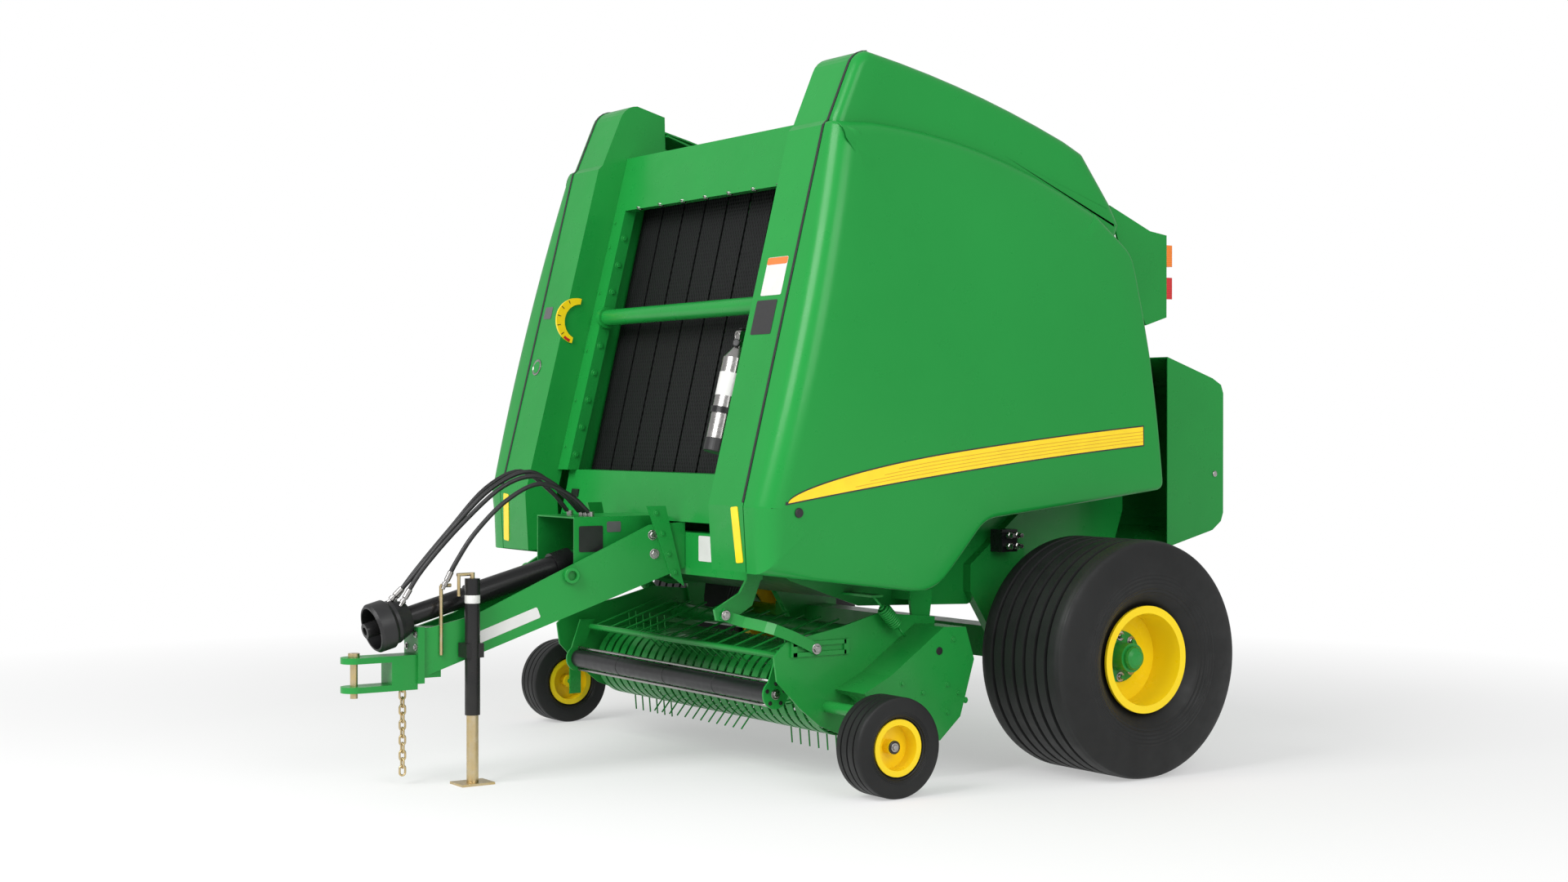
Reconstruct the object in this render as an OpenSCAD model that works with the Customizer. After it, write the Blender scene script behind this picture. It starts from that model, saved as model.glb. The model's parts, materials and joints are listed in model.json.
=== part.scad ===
// Round baler with a belt chamber, parked on its jack.
// Millimetres. X forward, Y to the machine's left, Z up, ground at z = 0.
// Sizes are set out from the main axle; place() moves the origin to the middle of the length.

/* [Wheels] */
// Main tyre outside diameter
main_od = 1014; // [960:1:1060]
// Main tyre section width
main_w = 546; // [500:1:560]
// Half of the main wheel track
track_half = 1400; // [1380:1:1440]
// Main rim flange radius
rim_r = 228; // [215:1:240]
// Gauge tyre outside diameter
gauge_od = 410; // [390:1:430]
// Gauge tyre section width
gauge_w = 165; // [140:1:170]
// Half of the gauge wheel track
gauge_half = 1373; // [1365:1:1400]
// Gauge wheel axle ahead of the main axle
gauge_x = 1170; // [1140:1:1200]
// Main spindle radius
spindle_r = 45; // [35:1:55]

/* [Body] */
// Half of the inner width of the bale chamber
chamber_half = 790; // [770:1:795]
// Side sheet thickness
sheet_t = 10; // [6:1:14]
// Lean of the front face, degrees
lean = 14.3; // [12:0.1:16]
// Where the front face would meet the ground, ahead of the axle
front_foot = 1975; // [1950:1:2000]
// Depth of the front columns
column_depth = 170; // [140:1:190]
// Inner face of the columns from the centre
column_in = 817; // [812:1:830]
// Outer face of the columns from the centre
column_out = 1045; // [1020:1:1060]
// Foot of the columns above the ground
column_foot = 950; // [920:1:980]
// Height of the step under the crest at the front
step_z = 2738; // [2700:1:2760]
// Height of the crest
crest_z = 3020; // [2980:1:3060]
// Inner face of the crest from the centre
crest_in = 725; // [700:1:760]
// Outer face of the fixed crest from the centre
crest_seam = 995; // [970:1:1010]
// Depth of the opening behind the front face
opening_set = 145; // [130:1:150]
// Top of the belt opening
opening_top = 2535; // [2480:1:2580]
// Bottom of the belt opening
opening_foot = 1290; // [1270:1:1330]

/* [Shields] */
// Outer face of the side shields from the centre
shield_y = 1150; // [1130:1:1170]
// Outer face of the shield crests from the centre
shield_crest_y = 1085; // [1060:1:1100]
// Shield wall thickness
shield_t = 8; // [5:1:10]
// Gap along the shield seams
seam = 6; // [5:0.5:10]
// Radius of the shields' front corner
corner_r = 85; // [60:1:90]

/* [Hitch] */
// Tip of the hitch ahead of the axle
hitch_reach = 2940; // [2920:1:3000]
// Half width of the hitch ears
ear_half = 55; // [45:1:60]
// Hitch pin radius
pin_r = 15.5; // [12:0.5:18]
// Bottom of the hitch gap
hitch_low = 425; // [410:1:435]
// Top of the hitch gap
hitch_high = 520; // [510:1:530]
// Driveline bore radius
pto_r = 17.46; // [17:0.01:18]

/* [Rear] */
// Rear of the wrap box behind the axle
rear_reach = 1000; // [980:1:1060]
// Half width of the wrap box
box_half = 1100; // [1060:1:1130]

/* [Pickup] */
// Reel centre ahead of the axle
reel_x = 1070; // [1060:1:1075]
// Reel centre above the ground
reel_z = 350; // [345:1:360]
// Radius of the stripper bands
band_r = 165; // [155:1:170]
// Radius to the tine tips
tine_tip = 245; // [225:1:246]
// Distance between tines
tine_pitch = 68; // [64:1:70]
// Gap between stripper bands
band_gap = 20; // [18:1:24]
// Half of the inner width of the pickup
pickup_half = 940; // [938:1:950]
// Windguard roller centre ahead of the axle
guard_x = 1372; // [1368:1:1390]
// Windguard roller centre above the ground
guard_z = 375; // [365:1:385]
// Windguard roller radius
guard_r = 42; // [36:1:44]

/* [Jack] */
// Jack ahead of the axle
jack_x = 2420; // [2400:1:2440]
// Jack outer tube radius
jack_r = 32; // [30:1:34]
// Jack leg radius
leg_r = 25; // [22:1:26]

/* [Hidden] */
$fn = 64;
// Seat between pieces that are fixed to each other
seat = 0.3;
// Radial clearance of a shaft in its bearing
run = 0.4;
tan_lean = tan(lean);
x_mid = (hitch_reach - rear_reach) / 2;
axle_z = main_od / 2;
gauge_z = gauge_od / 2;
column_back = column_depth + seat;
post_depth = 60;
post_back = opening_set + post_depth + seat;
post_in = 720;
split_x = 6;
pivot_x = -40;
pivot_z = 2440;
lift_x = 660;
lift_z = 600;
bands = 27;
tongue_rear_x = 1470;
tongue_front_x = 2600;
tongue_rear_y = 300;
tongue_front_y = 55;
tongue_turn = atan((tongue_rear_y - tongue_front_y) / (tongue_front_x - tongue_rear_x));
tongue_len = (tongue_front_x - tongue_rear_x) / cos(tongue_turn);
tongue_t = 12;
tongue_rear_low = 790;
tongue_front_low = 440;
tongue_drop = atan((tongue_rear_low - tongue_front_low) / (tongue_front_x - tongue_rear_x));
jack_y = tongue_rear_y - (jack_x - tongue_rear_x) * tan(tongue_turn) + jack_r + 22;
drive_rear = [1880, 0, 905];
drive_drop = 15;
drive_len = 850;
pin_x = hitch_reach - ear_half;
ear_t = 25;
guard_half = pickup_half - 95;
hose_r = 10;
link_d = 9;
link_in = 32;

function fx(z) = front_foot - z * tan_lean;
function xo(z) = fx(z) - opening_set;

// Moves a piece from the axle's datum to the middle of the length.
module place() { translate([-x_mid, 0, 0]) children(); }

// Both sides of the machine.
module both() {
    children();
    mirror([0, 1, 0]) children();
}

// Extrudes a side profile drawn in X and Z between two Y values.
module side(y0, y1) { translate([0, y1, 0]) rotate([90, 0, 0]) linear_extrude(y1 - y0) children(); }

// Round bar across the machine between two Y values.
module bar(x, z, r, y0, y1) { translate([x, y1, z]) rotate([90, 0, 0]) cylinder(r = r, h = y1 - y0); }

// Box between two corners.
module block(a, b) { translate(a) cube(b - a); }

// Frame whose Z runs up the leaning front face.
module leaning() { translate([front_foot, 0, 0]) rotate([0, -lean, 0]) children(); }

// Frame along the driveline, X pointing to the tractor.
module drive_frame() { translate(drive_rear) rotate([0, drive_drop, 0]) children(); }

// Frame of the left tongue plate, X along it.
module tongue_frame() { translate([tongue_rear_x, tongue_rear_y, 0]) rotate([0, 0, -tongue_turn]) children(); }

module side_sheets() color([0.10, 0.42, 0.16]) place() both() {
    difference() {
        union() {
            side(chamber_half, chamber_half + sheet_t)
                polygon([[split_x, 780], [300, 700], [900, 720], [1250, 840], [fx(1000) - post_back, 1000],
                    [fx(2700) - post_back, 2700], [700, 2640], [split_x, 2450]]);
            side(chamber_half + sheet_t, chamber_half + 2 * sheet_t)
                polygon([[140, 2300], [140, 2490], [pivot_x - 50, 2490], [pivot_x - 50, 2390], [60, 2300]]);
            bar(pivot_x, pivot_z, 20, chamber_half, chamber_half + 2 * sheet_t);
            block([lift_x - 60, chamber_half + 1, 745], [lift_x + 60, pickup_half - 10, 785]);
            side(pickup_half - 25, pickup_half - 10)
                polygon([[lift_x - 35, lift_z - 30], [lift_x + 35, lift_z - 30], [lift_x + 60, 760], [lift_x - 60, 760]]);
            bar(lift_x, lift_z, 20, pickup_half - 11, pickup_half + 14);
        }
    }
}

module column_shell(inset, drop) {
    polygon([[fx(column_foot - drop) - inset, column_foot - drop], [fx(step_z - inset) - inset, step_z - inset],
        [fx(step_z - inset) - column_depth + inset, step_z - inset],
        [fx(column_foot - drop) - column_depth + inset, column_foot - drop]]);
}

module crest_shape() {
    polygon([[fx(step_z), step_z], [1140, step_z + 114], [1085, crest_z], [905, crest_z - 55], [900, step_z]]);
}

module front_columns() color([0.14, 0.55, 0.22]) place() both() {
    difference() {
        side(column_in, column_out) column_shell(0, 0);
        side(column_in + 8, column_out - 8) column_shell(8, 20);
    }
    difference() {
        side(crest_in, crest_seam) crest_shape();
        side(crest_in + 8, crest_seam - 8) offset(delta = -8) crest_shape();
        side(crest_in + 8, crest_seam - 8) polygon([[880, step_z + 20], [910, step_z + 20], [910, 2900], [880, 2900]]);
    }
}

module top_rails() color([0.14, 0.55, 0.22]) place() both()
    side(chamber_half + sheet_t + seat, crest_seam)
        polygon([[899, 2930], [-150, 2600], [-150, 2592], [20, 2637], [20, 2490 + seat], [40, 2490 + seat], [40, 2642],
            [899, 2922]]);

module top_beam() color([0.14, 0.55, 0.22]) place() difference() {
    side(seat - column_in, column_in - seat)
        polygon([[xo(opening_top), opening_top], [xo(2800), 2800], [xo(2800) - 130, 2800], [xo(2800) - 130, 2790],
            [xo(2790) - 12, 2790], [xo(opening_top + 10) - 12, opening_top + 10],
            [xo(opening_top) - 60, opening_top + 10], [xo(opening_top) - 60, opening_top]]);
    both() block([800, crest_in - seat, step_z - seat], [1300, column_out, crest_z]);
}

module posts() color([0.12, 0.48, 0.19]) place() both()
    side(post_in, column_in - seat)
        polygon([[xo(opening_foot), opening_foot], [xo(opening_top - seat), opening_top - seat],
            [xo(opening_top - seat) - post_depth, opening_top - seat],
            [xo(opening_foot) - post_depth, opening_foot]]);

module lower_panel() color([0.14, 0.55, 0.22]) place()
    side(seat - chamber_half, chamber_half - seat)
        polygon([[1491.5, 1080], [1452, opening_foot - seat], [1365, opening_foot - seat],
            [1365, opening_foot - 10], [1444, opening_foot - 10], [1481.5, 1080]]);

module panel_latches() color([0.03, 0.03, 0.03]) place() both()
    translate([1472.7, 690, 1180]) rotate([0, -10.7, 0]) block([seat, -30, -18], [9, 30, 18]);

module cross_tube() color([0.14, 0.55, 0.22]) place() {
    bar(xo(2015) - 20, 2015, 38, seat - post_in, post_in - seat);
    bar(xo(2015) - 20, 2015, 50, seat - post_in, 30 - post_in);
    bar(xo(2015) - 20, 2015, 50, post_in - 30, post_in - seat);
}

belt_w = 178;
belt_step = 192;
belt_set = 300;
function belt_arc(r, n) = [for (i = [0:n]) let (a = 13.3 + i * 88.8 / n) [930 + r * cos(a), 2640 + r * sin(a)]];

module belt_path() {
    outer = belt_arc(98, 8);
    inner = belt_arc(90, 8);
    polygon(concat([[fx(1160) - belt_set, 1160]], outer, [[100, 2560]], [[100, 2552]],
        [for (i = [8:-1:0]) inner[i]], [[fx(1160) - belt_set - 8, 1160]]));
}

module belts() color([0.03, 0.03, 0.03]) place()
    for (i = [0:7]) translate([0, (i - 3.5) * belt_step, 0]) side(-belt_w / 2, belt_w / 2) belt_path();

// Roller tube across the chamber.
module roller(x, z, r) difference() {
    bar(x, z, r, seat - chamber_half, chamber_half - seat);
    bar(x, z, r - 8, -chamber_half, chamber_half);
}

module belt_rollers() color([0.25, 0.25, 0.26]) place() {
    roller(930, 2640, 90 * cos(88.8 / 16) - seat);
    roller(1290, 1150, 60);
    roller(150, 2500, 60);
}

module axle_beam() color([0.12, 0.48, 0.19]) place() {
    difference() {
        block([-70, -1080, axle_z - 70], [70, 1080, axle_z + 70]);
        block([-60, -1060, axle_z - 60], [60, 1060, axle_z + 60]);
        block([-40, -700, axle_z - 80], [40, 700, axle_z - 50]);
    }
    both() {
        bar(0, axle_z, spindle_r, 1070, track_half + 60);
        side(chamber_half + sheet_t + seat, chamber_half + sheet_t + 50)
            polygon([[-120, axle_z - 60], [120, axle_z - 60], [320, 760], [320, 880], [40, 1100], [split_x, 1100],
                [split_x, 760], [-120, 640]]);
    }
}

module roller_housing() color([0.08, 0.30, 0.12]) place() difference() {
    side(seat - chamber_half, chamber_half - seat)
        polygon([[60, 800], [300, 710], [880, 740], [1240, 850], [1380, 1030], [1230, 1050], [300, 960]]);
    side(30 - chamber_half, chamber_half - 30)
        polygon([[90, 815], [310, 730], [870, 760], [1220, 865], [1330, 1000], [1200, 1060], [320, 1000]]);
}

module front_cross() color([0.12, 0.48, 0.19]) place() difference() {
    block([1390, seat - chamber_half, 850], [tongue_rear_x - seat, chamber_half - seat, 1034]);
    block([1400, 40 - chamber_half, 860], [1460, chamber_half - 40, 1060]);
}

module tongue_plate() {
    polygon([[0, tongue_rear_low], [0, 1075], [120, 1075], [tongue_len, 655], [tongue_len, tongue_front_low]]);
}

module tongue() color([0.14, 0.55, 0.22]) place() {
    both() {
        difference() {
            tongue_frame() difference() {
                union() {
                    side(-tongue_t, 0) tongue_plate();
                    bar(355, 850, 34, -tongue_t, 30);
                }
                bar(355, 850, 20, -20, 40);
            }
            block([tongue_rear_x - 50, 0, 700], [tongue_rear_x, 400, 1200]);
        }
    }
    intersection() {
        translate([tongue_rear_x, 0, tongue_rear_low]) rotate([0, tongue_drop, 0]) linear_extrude(8)
            polygon([[0, 3 - tongue_rear_y], [1183, 3 - tongue_front_y], [1183, tongue_front_y - 3], [0, tongue_rear_y - 3]]);
        block([tongue_rear_x, -400, 0], [tongue_front_x, 400, 1200]);
    }
    block([tongue_front_x - 80, -tongue_front_y, tongue_front_low], [tongue_front_x, tongue_front_y, 655]);
}

module hitch_clevis() color([0.14, 0.55, 0.22]) place() difference() {
    union() {
        block([tongue_front_x + seat, -70, 425], [tongue_front_x + 30, 70, 660]);
        block([tongue_front_x + 25, -ear_half, hitch_low - ear_t], [2740, ear_half, hitch_high + ear_t]);
        for (z = [hitch_low - ear_t, hitch_high]) {
            block([2730, -ear_half, z], [pin_x, ear_half, z + ear_t]);
            translate([pin_x, 0, z]) cylinder(r = ear_half, h = ear_t);
        }
    }
    translate([pin_x, 0, 300]) cylinder(r = pin_r + run, h = 400);
    block([2650, -20, 300], [2690, 20, hitch_low + 40]);
}

module hitch_pin() color([0.72, 0.58, 0.25]) place() translate([pin_x, 0, 0]) {
    translate([0, 0, hitch_low - ear_t - 25]) cylinder(r = pin_r, h = hitch_high + ear_t - hitch_low + ear_t + 26);
    translate([0, 0, hitch_high + ear_t + seat]) cylinder(r = 24, h = 16);
}

module gearbox_hood() color([0.14, 0.55, 0.22]) place() difference() {
    block([tongue_rear_x + 30 + seat, -170, 870], [1950, 170, 1105]);
    block([tongue_rear_x, -164, 860], [1960, 164, 1099]);
    translate([1950, -200, 1105]) rotate([0, 35, 0]) block([-200, 0, 0], [200, 400, 100]);
}

module gearbox() color([0.08, 0.30, 0.12]) place() {
    block([tongue_rear_x + seat, -110, 850], [1740, 110, 1030]);
    drive_frame() rotate([0, 90, 0]) translate([0, 0, -160]) cylinder(r = 45, h = 158);
}

module driveline() color([0.02, 0.02, 0.02]) place() drive_frame() rotate([0, 90, 0]) {
    cylinder(r = 62, h = 90);
    translate([0, 0, 89]) cylinder(r = 50, h = 420);
    translate([0, 0, 508]) cylinder(r = 42, h = drive_len - 508);
}

module driveline_bell() color([0.02, 0.02, 0.02]) place() drive_frame() rotate([0, 90, 0]) translate([0, 0, drive_len - 50])
    rotate_extrude() polygon([[42 + seat, 0], [70, 0], [84, 40], [92, 60], [92, 75], [104, 90], [104, 150], [96, 160],
        [88, 160], [88, 100], [42 + seat, 30]]);

module pto_coupler() color([0.05, 0.05, 0.05]) place() drive_frame() rotate([0, 90, 0]) translate([0, 0, drive_len + seat])
    difference() {
        union() {
            cylinder(r = 40, h = 60);
            translate([0, 0, 40]) cylinder(r = 32, h = 100);
        }
        translate([0, 0, 69]) cylinder(r = pto_r, h = 90);
        translate([0, 0, 50]) cylinder(r = 22, h = 20);
    }

module jack_tube() color([0.02, 0.02, 0.02]) place() {
    translate([jack_x, jack_y, 290]) difference() {
        cylinder(r = jack_r, h = 570);
        translate([0, 0, -1]) cylinder(r = leg_r + run, h = 561);
    }
    translate([jack_x, jack_y, 530]) difference() {
        block([-40, -jack_r - 20, 0], [40, jack_r - 4, 60]);
        translate([0, 0, -1]) cylinder(r = jack_r - 2, h = 100);
        rotate([0, 0, -tongue_turn]) block([-200, -300, -10], [200, seat - (jack_r + 22) * cos(tongue_turn), 100]);
    }
}

module jack_crank() color([0.72, 0.58, 0.25]) place() translate([jack_x, jack_y, 860 + seat]) {
    cylinder(r = 10, h = 25);
    translate([0, 0, 18]) rotate([0, 90, 0]) cylinder(r = 7, h = 70);
    translate([62, 0, 18]) rotate([0, 180, 0]) cylinder(r = 7, h = 90);
}

module jack_leg() color([0.72, 0.58, 0.25]) place() translate([jack_x, jack_y, 0]) {
    translate([0, 0, 5]) cylinder(r = leg_r, h = 550);
    block([-75, -60, 0], [75, 60, 10]);
}

module hose_rest() color([0.72, 0.58, 0.25]) place()
    translate([2530, tongue_rear_y - (2530 - tongue_rear_x) * tan(tongue_turn) + (8 + seat) / cos(tongue_turn), 540]) {
        cylinder(r = 8, h = 290);
        translate([0, -2.2, 290]) rotate([0, -90, 0]) cylinder(r = 8, h = 45);
    }

module chain_link() {
    half = link_in / 2 - 8 + link_d / 2;
    r = 8 + link_d / 2;
    for (s = [0, 180]) rotate([0, s, 0]) translate([0, 0, link_in / 2 - 8]) rotate([90, 0, 0])
        rotate_extrude(angle = 180) translate([r, 0]) circle(d = link_d);
    for (s = [-1, 1]) translate([s * r, 0, -(link_in / 2 - 8)]) cylinder(d = link_d, h = link_in - 16);
}

module safety_chain() color([0.72, 0.58, 0.25]) place() {
    for (i = [0:12]) translate([2670, 0, hitch_low + 40 - seat - link_in / 2 - link_d - i * (link_in - seat)])
        rotate([0, 0, 90 * (i % 2)]) chain_link();
}

// Points on a smooth curve through the route points, with end points repeated.
function knot(p, i) = p[max(0, min(len(p) - 1, i))];
function curve(p, i, t) = 0.5 * (2 * knot(p, i) + (knot(p, i + 1) - knot(p, i - 1)) * t
    + (2 * knot(p, i - 1) - 5 * knot(p, i) + 4 * knot(p, i + 1) - knot(p, i + 2)) * t * t
    + (3 * knot(p, i) - knot(p, i - 1) - 3 * knot(p, i + 1) + knot(p, i + 2)) * t * t * t);
function route(p, n) = concat([for (i = [0:len(p) - 2]) for (k = [0:n - 1]) curve(p, i, k / n)], [p[len(p) - 1]]);
function unit(v) = v / norm(v);
function heading(c, i) = unit(c[min(len(c) - 1, i + 1)] - c[max(0, i - 1)]);
function across(d) = unit(cross(d, [0.1, 1, 0.1]));

// Round tube of radius r along a list of route points.
module hose(p, n = 3, r = hose_r, sides = 8) {
    c = route(p, n);
    m = len(c);
    ring = [for (i = [0:m - 1]) let (d = heading(c, i), u = across(d), v = cross(d, u))
        for (k = [0:sides - 1]) c[i] + r * (cos(k * 360 / sides) * u + sin(k * 360 / sides) * v)];
    faces = concat([[for (k = [0:sides - 1]) k]],
        [for (i = [0:m - 2]) for (k = [0:sides - 1]) let (a = i * sides + k, b = i * sides + (k + 1) % sides)
            each [[a, a + sides, b + sides], [a, b + sides, b]]],
        [[for (k = [sides - 1:-1:0]) (m - 1) * sides + k]]);
    polyhedron(ring, faces, convexity = 6);
}

hose_a_pts = [[1860, 90, 1125], [1940, 90, 1200], [2080, 85, 1280], [2240, 75, 1240], [2430, 60, 1080], [2600, 50, 900], [2680, 45, 780]];
hose_b_pts = [[1860, 50, 1125], [1950, 50, 1210], [2100, 48, 1300], [2280, 40, 1230], [2460, 30, 1060], [2630, 20, 870], [2710, 10, 790]];
hose_c_pts = [[1860, -60, 1125], [1940, -60, 1210], [2090, -55, 1300], [2260, -50, 1230], [2430, -45, 1060], [2590, -40, 890], [2680, -40, 780]];
hose_d_pts = [[1860, 130, 1125], [1950, 130, 1200], [2100, 135, 1250], [2260, 140, 1180], [2400, 135, 1050], [2480, 120, 930], [2520, 110, 850]];

module hose_a() color([0.02, 0.02, 0.02]) place() hose(hose_a_pts);
module hose_b() color([0.02, 0.02, 0.02]) place() hose(hose_b_pts);
module hose_c() color([0.02, 0.02, 0.02]) place() hose(hose_c_pts);
module hose_d() color([0.02, 0.02, 0.02]) place() hose(hose_d_pts);

module hose_fittings() color([0.55, 0.55, 0.56]) place()
    for (y = [90, 50, -60, 130]) translate([1845, y, 1105 + seat]) cylinder(r = 15, h = 20);

module extinguisher() color([0.75, 0.75, 0.77]) place() leaning() translate([-30, column_in - 75, 1440]) {
    cylinder(r = 55, h = 400);
    translate([0, 0, 399]) cylinder(r1 = 55, r2 = 22, h = 50);
    translate([0, 0, 448]) cylinder(r = 16, h = 40);
    translate([0, 0, 480]) block([-18, -18, 0], [18, 18, 40]);
}

module extinguisher_strap() color([0.03, 0.03, 0.03]) place() leaning() translate([-30, column_in - 75, 1600]) {
    difference() {
        union() {
            cylinder(r = 61, h = 26);
            block([-25, 0, 0], [25, 75 - seat, 26]);
        }
        translate([0, 0, -1]) cylinder(r = 55 + seat, h = 40);
    }
}

module bale_gauge() color([0.95, 0.78, 0.03]) place() leaning()
    translate([-60, -column_in + seat, 2080]) side(0, 10) difference() {
        intersection() {
            circle(r = 110);
            translate([0, -110]) square([110, 220]);
        }
        translate([-20, 0]) circle(r = 85);
    }

// Side profile of a shield below its crest.
module shield_shape() {
    polygon([[fx(column_foot), column_foot], [fx(step_z), step_z], [-316, 2348], [-440, 1810], [-570, 1241],
        [-340, 1215], [-100, 1194], [120, 1160], [330, 1095], [470, 1005], [600, 910], [700, 850], [820, 815],
        [1100, 830], [1405, 866], [1640, 905]]);
}

// Side profile of a shield's crest.
module shield_crest_shape() {
    polygon([[fx(step_z), step_z], [1140, step_z + 114], [1085, crest_z], [-60, 2645], [-180, 2580], [-245, 2490],
        [-316, 2348]]);
}

module shield_body(inset) {
    intersection() {
        side(column_out + seam - inset, shield_y - inset) offset(delta = -inset) shield_shape();
        leaning() translate([-inset, 0, 0]) linear_extrude(3400) union() {
            translate([-3600, 900]) square([3600, shield_y - corner_r - 900]);
            translate([-3600, 900]) square([3600 - corner_r, shield_y - inset - 900]);
            translate([-corner_r, shield_y - corner_r]) circle(r = corner_r - inset);
        }
    }
}

module shield() {
    difference() {
        shield_body(0);
        shield_body(shield_t);
    }
    difference() {
        side(crest_seam + seam, shield_crest_y) shield_crest_shape();
        side(crest_seam, shield_crest_y - shield_t) offset(delta = -shield_t) shield_crest_shape();
        side(column_in, column_out + seam) polygon([[fx(2600) + 60, 2600], [fx(2600) + 60, step_z + seam],
            [fx(step_z) - column_depth - seam, step_z + seam], [fx(2600) - column_depth - seam, 2600]]);
    }
}

module left_shield() color([0.16, 0.60, 0.25]) place() shield();
module right_shield() color([0.16, 0.60, 0.25]) place() mirror([0, 1, 0]) shield();
module shield_latch_l() color([0.03, 0.03, 0.03]) place() bar(1453, 1142, 20, shield_y + seat, shield_y + 6);
module shield_latch_r() color([0.03, 0.03, 0.03]) place() bar(1453, 1142, 20, -shield_y - 6, -shield_y - seat);

module gate_shape() {
    polygon([[-seam, 780], [-seam, 2400], [-40, 2480], [-300, 2460], [-540, 2330], [-620, 2150], [-640, 1900],
        [-640, 1100], [-590, 960], [-420, 800], [-200, 740]]);
}

module tailgate_sheets() color([0.12, 0.48, 0.19]) place() both() difference() {
    side(chamber_half, chamber_half + sheet_t - seat) gate_shape();
    bar(pivot_x, pivot_z, 20 + run, chamber_half - 10, chamber_half + 30);
}

module tailgate_rear() color([0.14, 0.55, 0.22]) place() difference() {
    side(seat - chamber_half, chamber_half - seat) gate_shape();
    side(-chamber_half, chamber_half) offset(delta = -8) gate_shape();
    block([-100, -chamber_half, 700], [100, chamber_half, 2600]);
}

module lamp_brackets() color([0.14, 0.55, 0.22]) place() both() {
    side(1030, 1042) polygon([[-335, 2500], [-585, 2395], [-690, 2380], [-690, 2000], [-560, 1960], [-420, 2250]]);
    block([-690, chamber_half + sheet_t, 2000], [-680, 1036, 2380]);
    block([-690, chamber_half + sheet_t, 2050], [-560, 1036, 2060]);
    block([-690, chamber_half + sheet_t, 2040], [-570, chamber_half + sheet_t + 10, 2300]);
}

module amber_lamps() color([0.95, 0.40, 0.02]) place() both() block([-725, 985, 2235], [-690 - seat, 1042, 2335]);
module red_lamps() color([0.75, 0.03, 0.03]) place() both() block([-725, 985, 2085], [-690 - seat, 1042, 2185]);

module box_shape() {
    polygon([[-640 - seat, 1815], [-930, 1720], [-rear_reach + 15, 1690], [-rear_reach, 1650], [-rear_reach, 1090],
        [-rear_reach + 15, 1050], [-930, 1010], [-640 - seat, 938]]);
}

module wrap_box() color([0.14, 0.55, 0.22]) place() difference() {
    side(-box_half, box_half) box_shape();
    side(5 - box_half, box_half - 5) translate([5, 0]) offset(delta = -5) box_shape();
}

// Tyre carcass round the Z axis, open to the rim between its beads.
module tyre(od, w, bead, bead_half, flange) {
    r = od / 2;
    h = w / 2;
    d = r - bead;
    t = 0.05 * w;
    half = [[bead, bead_half], [flange + 2, bead_half + (flange - bead) / 4], [bead + 0.3 * d, h * 0.96], [bead + 0.45 * d, h],
        [bead + 0.65 * d, h * 0.98], [r - 0.13 * h, h * 0.88], [r - 0.05 * h, h * 0.72], [r, h * 0.45]];
    inner = [[r - t, h * 0.45], [r - t - 0.04 * h, h * 0.7], [bead + 0.65 * d, h * 0.98 - t], [bead + 0.4 * d, h - t],
        [bead, bead_half - 2 * t]];
    rotate_extrude() polygon(concat(half, [for (i = [len(half) - 1:-1:0]) [half[i][0], -half[i][1]]],
        [for (i = [len(inner) - 1:-1:0]) [inner[i][0], -inner[i][1]]], inner));
}

// Wheel frame, Z pointing out of the machine on the given side.
module wheel_at(x, y, z, s) { translate([x, s * y, z]) rotate([-90 * s, 0, 0]) children(); }

rim_seat = rim_r - 24;
module main_rim() rotate_extrude() polygon([[rim_seat - 8, -235], [rim_r, -235], [rim_r, -225], [rim_seat, -205],
    [rim_seat, 205], [rim_r, 225], [rim_r, 237], [rim_seat - 8, 237], [rim_seat - 8, 72], [150, 66], [95, 66], [95, 54],
    [150, 54], [rim_seat - 8, 60]]);

module main_hub() difference() {
    union() {
        translate([0, 0, 66 + seat]) cylinder(r = 110, h = 8);
        cylinder(r = 62, h = 150);
        for (i = [0:7]) rotate([0, 0, i * 45]) translate([88, 0, 70]) cylinder(r = 9, h = 22);
    }
    translate([0, 0, -10]) cylinder(r = spindle_r + run, h = 75);
}

module main_tyre_l() color([0.03, 0.03, 0.03]) place() wheel_at(0, track_half, axle_z, 1) tyre(main_od, main_w, rim_seat + seat, 202, rim_r);
module main_tyre_r() color([0.03, 0.03, 0.03]) place() wheel_at(0, track_half, axle_z, -1) tyre(main_od, main_w, rim_seat + seat, 202, rim_r);
module main_rim_l() color([0.95, 0.78, 0.03]) place() wheel_at(0, track_half, axle_z, 1) main_rim();
module main_rim_r() color([0.95, 0.78, 0.03]) place() wheel_at(0, track_half, axle_z, -1) main_rim();
module main_hub_l() color([0.14, 0.55, 0.22]) place() wheel_at(0, track_half, axle_z, 1) main_hub();
module main_hub_r() color([0.14, 0.55, 0.22]) place() wheel_at(0, track_half, axle_z, -1) main_hub();

gauge_rim_r = 116;
gauge_seat = gauge_rim_r - 16;
module gauge_rim() difference() {
    rotate_extrude() polygon([[0, -60], [30, -60], [30, -8], [92, -8], [92, -70], [gauge_rim_r, -70],
        [gauge_rim_r, -62], [gauge_seat, -58], [gauge_seat, 58], [gauge_rim_r, 62], [gauge_rim_r, 70], [92, 70], [92, 0],
        [30, 0], [30, 40], [0, 40]]);
    translate([0, 0, -70]) cylinder(r = 12 + run, h = 95);
}

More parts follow.
